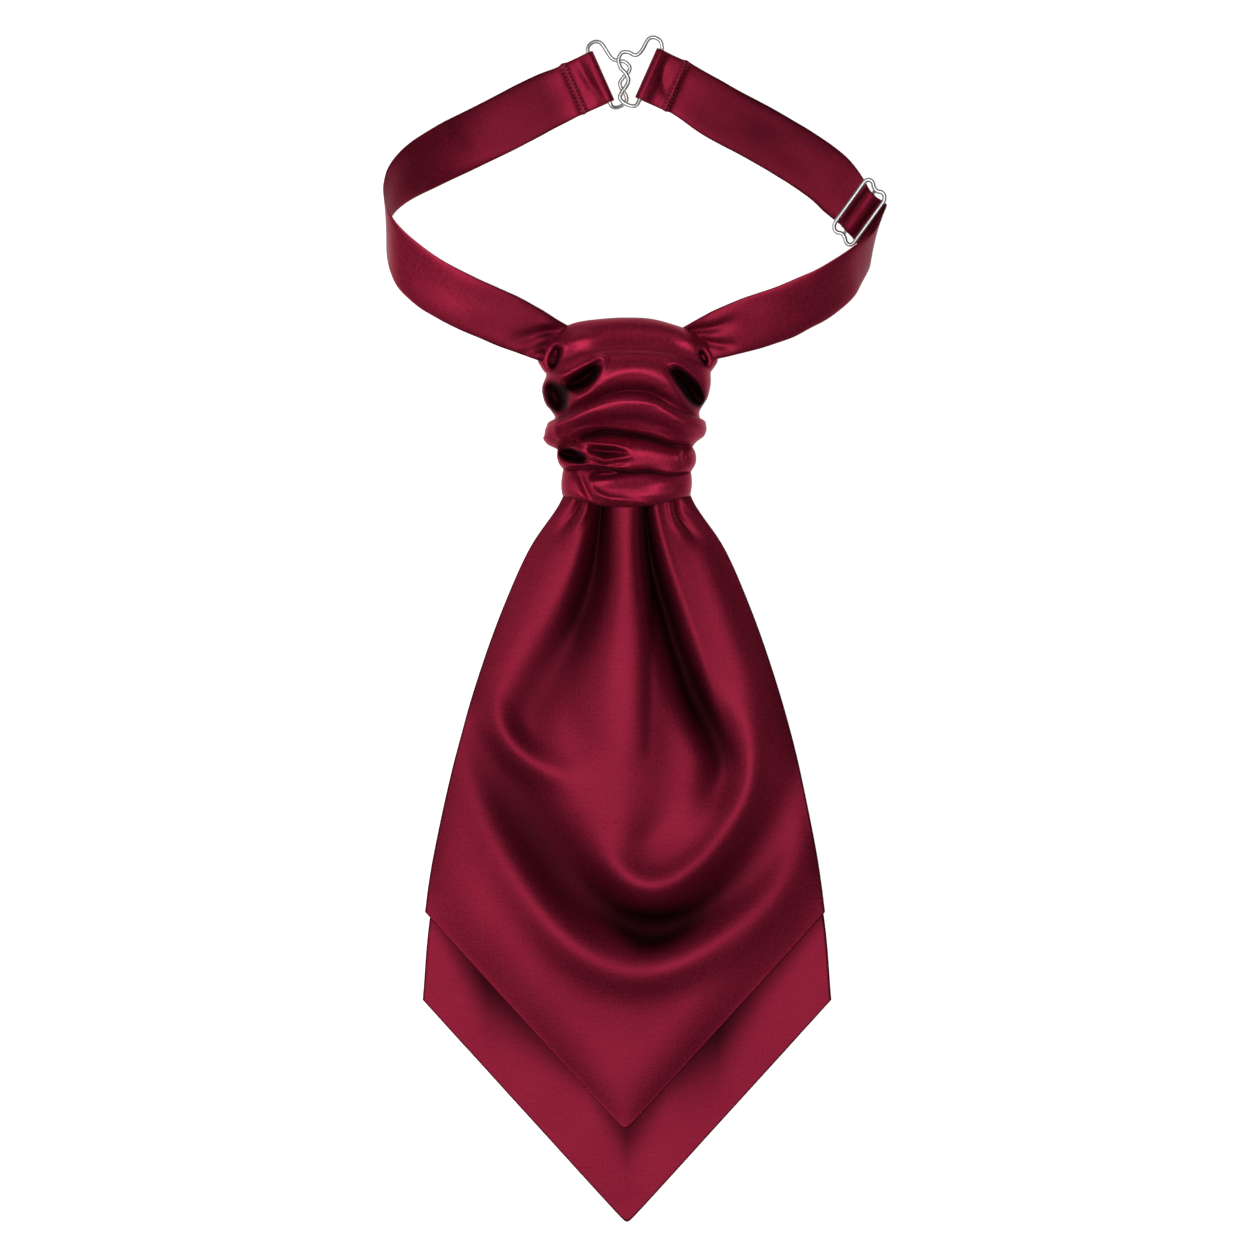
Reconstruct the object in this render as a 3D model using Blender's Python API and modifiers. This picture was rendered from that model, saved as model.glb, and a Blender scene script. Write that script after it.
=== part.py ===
"""A pre-tied silk cravat, laid flat: neckband, hook pair, adjuster slide, ruched wrap and two pointed aprons.

The table top is the plane z = 0. +Y runs from the aprons' points up to the hook, +X to the right as it is seen
from above. The tables below are in millimetres from the cravat's own centre line.
"""

import math

import bmesh
import bpy
import numpy as np
from mathutils import Matrix, Vector

MM = 0.001
GAP = 0.3

# The cravat's centre line lies a little left of the middle of the whole outline.
AXIS_X = -3.0
AXIS_Y = -0.2

END_WIDTH = 19.0
BAND_WALL = 1.3
APRON_WALL = 1.6
WIRE_RADIUS = 0.8
BAR_RADIUS = 0.7

# Left half of the neckband, from behind its hook end to inside the wrap. turn is the heading of the band's
# width in degrees from +X, rise how far that width tips up from the table: the band stands up on its inner
# edge as it turns, and comes back over itself.
LEFT_BAND = [
    # x, y, z, width, turn, rise
    (-30.0, 186.2, 0.7, 20.0, 116, 0),
    (-44.9, 178.4, 1.0, 20.0, 118, 1),
    (-54.0, 173.8, 2.0, 20.0, 119, 7),
    (-61.5, 169.9, 3.8, 20.0, 119, 17),
    (-70.9, 164.6, 5.8, 20.0, 116, 29),
    (-77.6, 160.1, 7.4, 20.0, 111, 39),
    (-81.9, 155.8, 8.7, 20.0, 107, 49),
    (-84.0, 152.0, 9.6, 20.0, 102, 56),
    (-85.0, 148.1, 10.6, 20.0, 95, 57),
    (-84.8, 143.6, 11.8, 20.0, 88, 53),
    (-83.9, 139.0, 13.2, 20.0, 83, 45),
    (-81.8, 133.9, 14.8, 20.0, 79, 35),
    (-77.7, 128.4, 15.9, 20.0, 73, 28),
    (-70.0, 122.0, 16.4, 19.9, 66, 24),
    (-62.6, 117.7, 16.2, 19.7, 64, 19),
    (-55.4, 114.1, 15.8, 19.4, 64, 15),
    (-48.4, 111.1, 15.2, 19.2, 65, 12),
    (-41.3, 108.0, 14.4, 18.8, 66, 9),
    (-34.1, 104.8, 13.6, 17.6, 66, 6),
    (-27.8, 101.8, 12.8, 16.0, 67, 3),
    (-19.0, 98.0, 12.0, 14.0, 68, 0),
]

# Right half up to the slide, then from the slide to inside the wrap.
RIGHT_BAND_BACK = [
    # x, y, z, width, turn, rise
    (32.9, 183.0, 0.7, 20.0, 62, 0),
    (47.1, 175.4, 0.7, 20.0, 60, 0),
    (61.2, 167.0, 1.0, 20.0, 58, 1),
    (70.4, 160.4, 1.9, 19.8, 56, 6),
    (75.3, 155.4, 2.7, 19.2, 54, 11),
]
RIGHT_BAND_FRONT = [
    # x, y, z, width, turn, rise
    (86.8, 142.8, 3.8, 17.8, 55, 18),
    (87.2, 140.0, 5.9, 18.4, 64, 33),
    (87.4, 137.4, 8.0, 19.0, 74, 46),
    (86.7, 134.6, 9.6, 19.5, 84, 54),
    (84.6, 131.8, 11.0, 19.8, 94, 55),
    (81.8, 128.8, 12.2, 20.0, 101, 50),
    (78.4, 125.0, 13.2, 20.0, 106, 42),
    (73.8, 121.3, 13.9, 20.0, 108, 36),
    (68.2, 117.6, 14.3, 20.0, 107, 31),
    (62.2, 114.7, 14.5, 20.0, 106, 26),
    (55.7, 111.6, 14.6, 20.0, 107, 22),
    (48.5, 109.1, 14.5, 19.7, 108, 19),
    (41.1, 106.7, 14.2, 19.0, 108, 17),
    (33.9, 104.3, 13.6, 17.6, 109, 13),
    (28.1, 102.2, 12.8, 15.6, 110, 8),
    (20.0, 99.0, 12.0, 13.6, 110, 0),
]

# The band's way through the slide: under the first rod, over the middle bar and under the second rod.
THREADING = [
    # along, up, width
    (-4.8, 0.0, 17.8),
    (-3.3, 0.3, 17.0),
    (-2.0, 1.5, 16.6),
    (0.0, 2.1, 16.4),
    (2.0, 1.5, 16.6),
    (3.3, 0.3, 17.0),
    (4.8, 0.0, 17.8),
]

# The turned-under end of each half, in the plane across the hook's straight bar: out is the distance back
# from the band's end edge, up the height of the wall's middle.
END_LOOP = [
    # out, up
    (12.0, 0.7),
    (8.0, 0.7),
    (4.6, 0.7),
    (2.6, 0.7),
    (1.3, 1.24),
    (0.75, 2.55),
    (1.3, 3.86),
    (2.6, 4.4),
    (4.6, 3.9),
    (7.0, 2.8),
    (10.0, 2.45),
    (12.6, 2.3),
    (15.5, 1.0),
]
LEFT_END = (-7.6, 196.2)
LEFT_END_TURN = 114
RIGHT_END = (6.0, 197.2)
RIGHT_END_TURN = 66

# Hook wires, seen from above. The straight bar of each lies inside its band's end loop.
LEFT_WIRE = [
    # x, y, z
    (-10.0, 195.1, 2.55),
    (-12.4, 200.4, 2.55),
    (-13.9, 204.4, 2.5),
    (-13.3, 206.7, 2.3),
    (-11.1, 207.9, 2.0),
    (-9.0, 207.2, 1.7),
    (-6.8, 204.0, 1.3),
    (-5.3, 202.0, 1.05),
    (-3.3, 201.2, 0.85),
    (-0.9, 200.9, 0.85),
    (0.9, 199.2, 0.85),
    (0.6, 197.3, 0.85),
    (-1.4, 195.2, 0.85),
    (-2.5, 193.3, 0.85),
    (-1.9, 191.2, 0.85),
    (-0.4, 189.0, 0.85),
    (-0.2, 187.0, 0.85),
    (-1.5, 185.6, 0.95),
    (-3.6, 184.6, 1.5),
    (-5.4, 185.0, 2.2),
    (-6.5, 187.3, 2.55),
]
RIGHT_WIRE = [
    # x, y, z
    (8.4, 196.1, 2.55),
    (10.4, 200.6, 2.55),
    (12.3, 204.8, 2.55),
    (12.1, 207.4, 2.6),
    (11.0, 208.7, 2.7),
    (9.2, 209.3, 2.8),
    (7.4, 208.5, 2.85),
    (5.2, 204.7, 2.85),
    (3.1, 203.0, 2.85),
    (0.6, 204.0, 2.85),
    (-1.7, 203.9, 2.85),
    (-3.0, 201.6, 2.85),
    (-2.3, 198.6, 2.85),
    (-0.4, 196.5, 2.85),
    (0.5, 194.3, 2.85),
    (-0.3, 192.0, 2.85),
    (-1.9, 189.8, 2.85),
    (-2.5, 187.8, 2.85),
    (-1.0, 186.1, 2.85),
    (1.4, 185.1, 2.8),
    (3.4, 185.4, 2.65),
    (5.0, 188.6, 2.55),
]

# Adjuster slide, on its own axes: along runs with the band, across along its two long rods, which tip up with
# the band, and up from the band's lowest stretch.
SLIDE_CENTRE = (82.3, 147.7, 3.0)
SLIDE_TURN = 54
SLIDE_RISE = 14
SLIDE_SKEW = -0.2
ROD_UP = 2.05
BAR_UP = 0.15
SLIDE_QUARTER = [
    # along, across
    (4.8, 0.0),
    (4.8, 7.4),
    (4.7, 9.4),
    (3.7, 10.8),
    (2.2, 10.9),
    (1.2, 10.2),
    (0.0, 9.9),
]

# Outline of the front apron down its side edges, and how high the cloth lies there and on the centre line.
FRONT_ROWS = [
    # y, half_width, shift, edge_z, crown_z
    (52.0, 20.5, 0.0, 7.0, 10.0),
    (43.4, 24.1, 0.0, 6.0, 10.0),
    (28.2, 34.4, 0.0, 4.2, 9.0),
    (6.9, 43.8, -0.1, 3.2, 8.2),
    (-14.3, 51.4, -0.2, 2.9, 7.8),
    (-35.6, 57.8, -0.3, 2.8, 7.4),
    (-56.8, 63.0, -0.4, 2.8, 7.0),
    (-78.0, 67.3, -0.6, 2.8, 6.4),
    (-90.0, 69.3, -0.7, 2.8, 5.6),
    (-99.8, 70.6, -0.7, 2.8, 4.8),
]
FRONT_TIP_Y = -176.2
HEM_Z = 2.8
FRONT_CELLS = (32, 38)

# How the front apron lies: its dome across, the pressed strips along its hem and sides where no fold reaches,
# and the stretch over which its crown comes down to the hem.
DOME_POWER = 2.5
HEM_PRESS = 26.0
EDGE_PRESS = 16.0
CROWN_FALL_Y = -118.0
CROWN_FALL = 50.0

# How round an apron's rows are near the wrap, as a part of the half width.
ROW_SOFTNESS = 0.7

BACK_ROWS = [
    # y, half_width
    (52.0, 17.0),
    (28.2, 30.0),
    (-14.3, 48.5),
    (-56.8, 61.0),
    (-99.6, 69.4),
    (-131.0, 72.3),
]
BACK_TIP_Y = -209.6
BACK_CELLS = (12, 14)

# Folds of the front apron: each runs along its own path, with its height (a trough's is negative) and how far
# it reaches to each side.
FOLDS = {
    "centre_pleat": [
        # x, y, height, reach
        (1.4, 46.0, 5.5, 4.4),
        (0.9, 24.0, 5.0, 5.0),
        (0.7, 4.0, 4.4, 6.2),
        (1.6, -24.0, 2.8, 8.5),
        (4.6, -54.0, 0.6, 12.0),
    ],
    "left_ridge": [
        (-13.5, 46.0, 3.5, 4.5),
        (-22.0, 27.0, 4.6, 6.5),
        (-31.0, 9.0, 4.6, 9.0),
        (-41.0, -9.0, 3.6, 9.5),
        (-47.5, -23.0, 3.4, 8.0),
        (-43.0, -37.0, 3.6, 8.0),
        (-34.0, -46.8, 3.0, 8.0),
        (-21.0, -52.8, 0.8, 9.0),
    ],
    "right_ridge": [
        (13.5, 46.0, 4.5, 4.5),
        (18.5, 28.0, 5.4, 6.0),
        (26.0, 9.0, 5.6, 8.5),
        (34.5, -9.0, 5.2, 9.5),
        (41.5, -27.0, 5.6, 8.5),
        (44.0, -42.0, 6.2, 8.0),
        (41.0, -60.0, 6.4, 8.5),
        (31.0, -77.0, 6.0, 8.5),
        (19.0, -87.6, 5.6, 8.5),
        (9.0, -91.0, 5.2, 8.5),
        (-1.0, -87.6, 4.0, 9.0),
        (-11.0, -78.0, 1.6, 10.0),
    ],
    "lower_swag": [
        (-60.5, -32.0, 1.6, 8.0),
        (-52.5, -54.0, 3.8, 9.5),
        (-44.5, -72.0, 5.0, 10.0),
        (-34.0, -94.5, 5.6, 10.5),
        (-20.5, -111.0, 5.8, 10.5),
        (-6.0, -119.8, 5.6, 10.0),
        (6.0, -121.8, 5.6, 10.0),
        (20.0, -117.2, 5.6, 10.5),
        (39.8, -104.0, 5.0, 11.0),
        (55.5, -88.0, 3.6, 10.5),
        (64.0, -73.0, 1.2, 9.0),
    ],
    "left_trough": [
        (-6.5, 46.0, -4.5, 3.2),
        (-10.0, 26.0, -4.2, 5.0),
        (-17.5, 4.0, -3.2, 7.5),
        (-28.5, -20.0, -1.4, 9.0),
    ],
    "right_trough": [
        (8.2, 46.0, -4.5, 2.8),
        (9.6, 24.0, -5.0, 3.8),
        (16.5, 2.0, -4.2, 6.0),
        (26.5, -24.0, -3.6, 7.0),
        (33.0, -46.0, -2.6, 7.5),
    ],
    "swag_trough": [
        (-46.0, -52.0, -1.0, 8.0),
        (-30.0, -76.0, -3.0, 9.0),
        (-12.0, -98.0, -3.6, 9.0),
        (6.0, -106.5, -3.8, 7.5),
        (24.0, -101.5, -3.4, 7.5),
        (44.0, -84.0, -2.6, 8.0),
        (55.0, -62.0, -1.2, 8.0),
    ],
}

# Rings of the ruched wrap from its top edge down: y at five places across (left edge to right edge), y of the
# ring on the hidden side, the ring's left and right ends, and the height of its crown.
WRAP_ROWS = [
    # y_a, y_b, y_c, y_d, y_e, y_back, x_left, x_right, crown
    (104.5, 107.6, 109.2, 107.4, 104.0, 104.0, -22.5, 26.0, 9.0),
    (103.4, 107.8, 109.6, 107.6, 102.8, 102.0, -24.5, 28.5, 15.5),
    (99.5, 104.6, 106.4, 104.4, 99.4, 99.0, -28.4, 31.2, 20.0),
    (95.4, 100.4, 101.8, 100.2, 95.6, 96.0, -30.4, 31.6, 21.0),
    (91.8, 97.0, 98.4, 96.8, 92.2, 93.0, -29.2, 29.9, 20.0),
    (88.6, 93.2, 95.6, 94.0, 88.4, 89.5, -29.0, 28.8, 20.6),
    (84.6, 88.4, 91.4, 89.4, 84.2, 86.0, -30.2, 29.8, 22.4),
    (80.6, 83.8, 87.4, 84.6, 80.2, 82.5, -29.6, 28.0, 20.0),
    (77.2, 80.4, 84.2, 81.2, 77.2, 79.5, -26.4, 26.2, 18.0),
    (73.2, 77.4, 80.6, 78.0, 73.6, 76.0, -28.2, 28.0, 22.4),
    (69.0, 73.4, 75.4, 73.0, 69.4, 72.0, -29.6, 28.4, 22.0),
    (65.6, 69.6, 70.6, 68.8, 66.2, 68.5, -28.6, 26.2, 19.6),
    (63.6, 66.6, 67.2, 66.0, 64.2, 65.5, -24.8, 23.8, 16.0),
    (61.0, 63.4, 64.0, 63.2, 61.6, 62.5, -24.9, 24.6, 18.4),
    (58.2, 59.8, 60.2, 59.6, 58.6, 59.4, -24.4, 24.2, 18.0),
    (56.0, 56.8, 57.0, 56.6, 56.2, 56.8, -22.6, 22.4, 15.6),
    (53.6, 54.0, 54.2, 54.0, 53.8, 54.0, -23.1, 23.1, 17.6),
    (49.4, 48.4, 47.8, 48.2, 49.4, 49.0, -23.0, 23.1, 17.6),
    (46.4, 44.9, 44.2, 44.8, 46.4, 46.4, -22.5, 22.7, 16.0),
    (46.2, 44.9, 44.4, 44.8, 46.2, 46.0, -20.5, 20.7, 11.0),
]
WRAP_SIDE_Z = 8.5
WRAP_AROUND = 40
WRAP_STEPS = 2

# The wrap's section: how full its front is across and in height, how far up its sides the pockets reach, and
# how soon its back turns flat onto the table.
WRAP_FULL_ACROSS = 0.8
WRAP_FULL_UP = 0.75
POCKET_FADE = 0.5
BACK_TURN = 0.3
BACK_DEPTH = 1.15
BACK_SHIFT = 3
WRAP_MIDDLE_Y = 77.0
WRAP_HALF_LENGTH = 33.0

# Hollows between the wrap's rolls.
POCKETS = [
    # x, y, depth, reach_x, reach_y, slope
    (-17.6, 86.8, 6.0, 7.5, 3.6, 0.5),
    (-25.6, 80.6, 4.5, 4.5, 4.6, 0.2),
    (21.8, 86.4, 6.0, 6.5, 3.4, -0.75),
    (-27.0, 93.8, 3.5, 2.2, 4.0, 0.5),
    (26.4, 95.0, 3.0, 2.0, 3.6, -0.5),
    (-18.4, 62.2, 4.5, 5.5, 2.2, -0.2),
]


# Rows that the smooth curves add in each span.
BAND_STEPS = 2
WIRE_STEPS = 2
APRON_STEPS = 6
FOLD_STEPS = 8
WRAP_ACROSS_STEPS = 4

BAND_CELLS = 4


def smooth_rows(rows, steps):
    """Rows of numbers with steps rows in each span, on a curve through all of them."""
    rows = np.asarray(rows, float)
    padded = np.vstack([2 * rows[0] - rows[1], rows, 2 * rows[-1] - rows[-2]])
    found = []
    for i in range(len(rows) - 1):
        before, start, end, after = padded[i : i + 4]
        for k in range(steps):
            t = k / steps
            found.append(
                0.5
                * (
                    2 * start
                    + (end - before) * t
                    + (2 * before - 5 * start + 4 * end - after) * t * t
                    + (3 * start - before - 3 * end + after) * t**3
                )
            )
    found.append(rows[-1])
    return np.array(found)


def closed_line(rows):
    """A smooth line through the rows and back to the first."""
    rows = np.asarray(rows, float)
    return smooth_rows(np.vstack([rows, rows[:1]]), WIRE_STEPS)[:-1]


def sampled(rows, place):
    """The row at a place from 0, the first, to 1, the last."""
    index = place * (len(rows) - 1)
    low = min(int(index), len(rows) - 2)
    return rows[low] + (rows[low + 1] - rows[low]) * (index - low)


def material(name, colour, roughness, metallic=0.0):
    finish = bpy.data.materials.new(name)
    finish.use_nodes = True
    shader = finish.node_tree.nodes["Principled BSDF"]
    shader.inputs["Base Color"].default_value = (*colour, 1.0)
    shader.inputs["Roughness"].default_value = roughness
    shader.inputs["Metallic"].default_value = metallic
    return finish


def placed(obj, name, finish):
    """An object of the cravat: named, in its collection, with its own material, on the cravat's axis."""
    obj.name = name
    obj.data.name = name
    obj.data.materials.clear()
    obj.data.materials.append(finish)
    obj.parent = axis
    cravat.objects.link(obj)
    return obj


def sheet_mesh(name, across, along, place):
    """A grid whose point at u, v (each -1 to 1) goes to place(u, v), in millimetres."""
    bm = bmesh.new()
    bmesh.ops.create_grid(bm, x_segments=across, y_segments=along, size=1.0)
    for vert in bm.verts:
        vert.co = Vector(place(vert.co.x, vert.co.y)) * MM
    mesh = bpy.data.meshes.new(name)
    bm.to_mesh(mesh)
    bm.free()
    mesh.shade_smooth()
    return bpy.data.objects.new(name, mesh)


def add_wall(obj, wall):
    """Cloth of one thickness about the object's open surface."""
    solidify = obj.modifiers.new("wall", "SOLIDIFY")
    solidify.thickness = wall * MM
    solidify.offset = 0.0
    solidify.use_even_offset = True


def trim_to_wrap(obj):
    """Ends the piece just clear of the wrap that it goes into."""
    cut = obj.modifiers.new("clear of wrap", "BOOLEAN")
    cut.object = wrap_cutter
    cut.operation = "DIFFERENCE"
    cut.solver = "EXACT"


def end_rows(end, turn, side):
    """The rows of a band's turned end, from the hem's cut edge round the hook's bar to the upper side."""
    heading = math.radians(turn)
    back = (-side * abs(math.sin(heading)), -abs(math.cos(heading)))
    return [
        (end[0] + back[0] * out, end[1] + back[1] * out, up, END_WIDTH, turn, 0)
        for out, up in END_LOOP
    ]


def band(name, rows, finish):
    """A neckband half: a flat ribbon along its rows."""
    path = smooth_rows(rows, BAND_STEPS)

    def place(u, v):
        x, y, z, width, turn, rise = sampled(path, (v + 1) / 2)
        turn, rise = math.radians(turn), math.radians(rise)
        reach = u * width / 2
        return (
            x + reach * math.cos(turn) * math.cos(rise),
            y + reach * math.sin(turn) * math.cos(rise),
            z + reach * math.sin(rise),
        )

    obj = sheet_mesh(name, BAND_CELLS, len(path) - 1, place)
    add_wall(obj, BAND_WALL)
    trim_to_wrap(obj)
    return placed(obj, name, finish)


def wire(name, points, radius, closed, finish):
    """A round wire along its points."""
    curve = bpy.data.curves.new(name, "CURVE")
    curve.dimensions = "3D"
    curve.bevel_depth = radius * MM
    curve.bevel_resolution = 2
    curve.use_fill_caps = not closed
    spline = curve.splines.new("POLY")
    spline.points.add(len(points) - 1)
    for point, (x, y, z) in zip(spline.points, points):
        point.co = (x * MM, y * MM, z * MM, 1.0)
    spline.use_cyclic_u = closed
    return placed(bpy.data.objects.new(name, curve), name, finish)


def slide_spot(along, across, up):
    """A point on the slide's own axes, as a point of the cravat."""
    turn, rise = math.radians(SLIDE_TURN), math.radians(SLIDE_RISE)
    along_axis = Vector((math.sin(turn), -math.cos(turn), 0))
    across_axis = Vector((math.cos(turn) * math.cos(rise), math.sin(turn) * math.cos(rise), math.sin(rise)))
    up_axis = along_axis.cross(across_axis)
    across = across + SLIDE_SKEW * along
    return tuple(Vector(SLIDE_CENTRE) + along_axis * along + across_axis * across + up_axis * up)


def slide_points():
    """The slide's outline, round from one rod: each corner is the same quarter, mirrored."""
    quarter = np.array(SLIDE_QUARTER)
    top = np.vstack([quarter, quarter[-2::-1] * (-1, 1)])
    ring = np.vstack([top, top[-2:0:-1] * (1, -1)])
    ring = closed_line(ring)
    return [slide_spot(along, across, ROD_UP) for along, across in ring]


def thread_rows():
    """The band's rows where it is threaded through the slide."""
    return [(*slide_spot(along, 0, up), width, SLIDE_TURN, SLIDE_RISE) for along, up, width in THREADING]


def fold_paths():
    """Each fold's path as close points: x, y, height and reach, with its share of the fold's length."""
    found = []
    for rows in FOLDS.values():
        path = smooth_rows(rows, FOLD_STEPS)
        length = np.hypot(*np.gradient(path[:, :2], axis=0).T)
        share = length / (path[:, 3] * math.sqrt(math.pi))
        found.append(np.column_stack([path, share]))
    return np.vstack(found)


def fold_height(x, y):
    """How far the folds lift or sink the front apron at a place."""
    path_x, path_y, height, reach, share = FOLD_POINTS.T
    away = ((path_x - x) ** 2 + (path_y - y) ** 2) / reach**2
    return float(np.sum(height * share * np.exp(-away)))


def point_of_v(u, down):
    """How far a row of an apron rises at u: rounded up by the wrap, a sharp V at the hem."""
    soft = ROW_SOFTNESS * (1 - down)
    return (math.hypot(u, soft) - soft) / (math.hypot(1, soft) - soft)


def front_place(u, v):
    """A point of the front apron's middle: v runs from its hem to the wrap."""
    down = (1 - v) / 2
    y_side, half_width, shift, edge_z, crown_z = sampled(FRONT_PATH, down)
    hem_y = FRONT_TIP_Y + (FRONT_ROWS[-1][0] - FRONT_TIP_Y) * point_of_v(u, down)
    top_y = FRONT_ROWS[0][0]
    y = top_y + (hem_y - top_y) * (top_y - y_side) / (top_y - FRONT_ROWS[-1][0])
    x = half_width * u + shift
    crown_z = crown_z + (HEM_Z - crown_z) * min(1, max(0, (CROWN_FALL_Y - y) / CROWN_FALL))
    dome = 1 - abs(u) ** DOME_POWER
    to_hem = min(1.0, (y - hem_y) / HEM_PRESS)
    to_edge = min(1.0, (1 - abs(u)) * half_width / EDGE_PRESS)
    flatten = to_hem * (2 - to_hem) * to_edge * (2 - to_edge)
    z = edge_z + (crown_z - edge_z) * dome + fold_height(x, y) * flatten
    return x, y, HEM_Z + max(0.0, z - HEM_Z)


def back_place(u, v):
    """A point of the back apron's middle, flat on the table."""
    down = (1 - v) / 2
    y_side, half_width = sampled(BACK_PATH, down)
    hem_y = BACK_TIP_Y + (BACK_ROWS[-1][0] - BACK_TIP_Y) * point_of_v(u, down)
    top_y = BACK_ROWS[0][0]
    y = top_y + (hem_y - top_y) * (top_y - y_side) / (top_y - BACK_ROWS[-1][0])
    return half_width * u, y, APRON_WALL / 2


def wrap_place(u, v, grow):
    """A point of the wrap's skin: u runs round a ring, v from the bottom ring to the top one."""
    y_a, y_b, y_c, y_d, y_e, y_back, x_left, x_right, crown = sampled(WRAP_PATH, (1 - v) / 2)
    angle = math.pi * (1 + u)
    side, up = math.cos(angle), math.sin(angle)
    middle, half_width = (x_left + x_right) / 2, (x_right - x_left) / 2 + grow
    t = math.copysign(abs(side) ** WRAP_FULL_ACROSS, side)
    x = middle + half_width * t
    front_line = smooth_rows([[y_a], [y_b], [y_c], [y_d], [y_e]], WRAP_ACROSS_STEPS)
    y_front = float(sampled(front_line, (t + 1) / 2)[0])
    if up >= 0:
        z = WRAP_SIDE_Z + (crown + grow - WRAP_SIDE_Z) * up**WRAP_FULL_UP
        for px, py, depth, reach_x, reach_y, slope in POCKETS:
            away = ((x - px) / reach_x) ** 2 + ((y_front - py - slope * (x - px)) / reach_y) ** 2
            z -= depth * math.exp(-away) * up**POCKET_FADE
        y = y_front
    else:
        z = max(-grow, (WRAP_SIDE_Z + grow) * (1 - BACK_DEPTH * abs(up) ** BACK_TURN) - grow)
        y = y_front + (y_back - y_front) * min(1.0, BACK_SHIFT * abs(up))
    return x, y, z


def wrap_object(name, grow):
    """The wrap as a closed tube of rings, grown outwards for a cutter."""
    bm = bmesh.new()
    rings = len(WRAP_PATH) - 1
    bmesh.ops.create_grid(bm, x_segments=WRAP_AROUND, y_segments=rings, size=1.0)
    for vert in bm.verts:
        vert.co = Vector(wrap_place(vert.co.x, vert.co.y, grow)) * MM
    bmesh.ops.remove_doubles(bm, verts=bm.verts, dist=0.00001)
    bmesh.ops.holes_fill(bm, edges=bm.edges, sides=0)
    bmesh.ops.triangulate(bm, faces=[face for face in bm.faces if len(face.verts) > 4])
    if grow:
        middle = Vector((0, WRAP_MIDDLE_Y * MM, 0))
        longer = (1, 1 + grow / WRAP_HALF_LENGTH, 1)
        bmesh.ops.scale(bm, vec=longer, space=Matrix.Translation(-middle), verts=bm.verts)
    bmesh.ops.recalc_face_normals(bm, faces=bm.faces)
    mesh = bpy.data.meshes.new(name)
    bm.to_mesh(mesh)
    bm.free()
    mesh.shade_smooth()
    return bpy.data.objects.new(name, mesh)


for old in list(bpy.data.objects):
    bpy.data.objects.remove(old)

cravat = bpy.data.collections.new("silk_cravat")
cutters = bpy.data.collections.new("cutters")
bpy.context.scene.collection.children.link(cravat)
bpy.context.scene.collection.children.link(cutters)

axis = bpy.data.objects.new("cravat_axis", None)
axis.location = (AXIS_X * MM, AXIS_Y * MM, 0)
cravat.objects.link(axis)

band_satin = material("band satin", (0.19, 0.012, 0.035), 0.42)
apron_satin = material("apron satin", (0.20, 0.013, 0.038), 0.40)
under_satin = material("under apron satin", (0.18, 0.011, 0.033), 0.42)
wrap_satin = material("wrap satin", (0.21, 0.014, 0.040), 0.38)
nickel = material("nickel wire", (0.72, 0.72, 0.73), 0.22, 1.0)
slide_nickel = material("slide nickel", (0.70, 0.70, 0.70), 0.26, 1.0)

WRAP_PATH = smooth_rows(WRAP_ROWS, WRAP_STEPS)
FRONT_PATH = smooth_rows(FRONT_ROWS, APRON_STEPS)
BACK_PATH = smooth_rows(BACK_ROWS, APRON_STEPS)
FOLD_POINTS = fold_paths()

wrap_cutter = wrap_object("wrap_clearance", GAP)
wrap_cutter.parent = axis
wrap_cutter.hide_render = True
wrap_cutter.display_type = "WIRE"
cutters.objects.link(wrap_cutter)
placed(wrap_object("ruched_wrap", 0.0), "ruched_wrap", wrap_satin)

left_rows = end_rows(LEFT_END, LEFT_END_TURN, 1) + LEFT_BAND
right_rows = end_rows(RIGHT_END, RIGHT_END_TURN, -1) + RIGHT_BAND_BACK + thread_rows() + RIGHT_BAND_FRONT
band("band_left", left_rows, band_satin)
band("band_right", right_rows, band_satin)

back_apron = sheet_mesh("back_apron", *BACK_CELLS, back_place)
add_wall(back_apron, APRON_WALL)
trim_to_wrap(back_apron)
placed(back_apron, "back_apron", under_satin)

front_apron = sheet_mesh("front_apron", *FRONT_CELLS, front_place)
add_wall(front_apron, APRON_WALL)
trim_to_wrap(front_apron)
placed(front_apron, "front_apron", apron_satin)

wire("hook_wire_left", closed_line(LEFT_WIRE), WIRE_RADIUS, True, nickel)
wire("hook_wire_right", closed_line(RIGHT_WIRE), WIRE_RADIUS, True, nickel)
wire("slide_frame", slide_points(), WIRE_RADIUS, True, slide_nickel)

bar_reach = SLIDE_QUARTER[-1][1]
bar_points = [slide_spot(0, -bar_reach, BAR_UP), slide_spot(0, bar_reach, BAR_UP)]
wire("slide_bar", bar_points, BAR_RADIUS, False, slide_nickel)
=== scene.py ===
# %% [markdown]
# # A pre-tied silk cravat, laid flat
# The cravat is sewn from satin: a neckband in two halves that hook together behind the neck, a slide that
# sets its length, a ruched wrap round the middle and two pointed aprons, one over the other. The packed
# solids give every piece its place. This script puts the finer cloth over them, with the folds that a
# hand would press and gather, and then the satin, the nickel and the light.

# %% The fixed frame
import math

import bmesh
import bpy
import numpy as np
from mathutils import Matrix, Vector, noise


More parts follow.
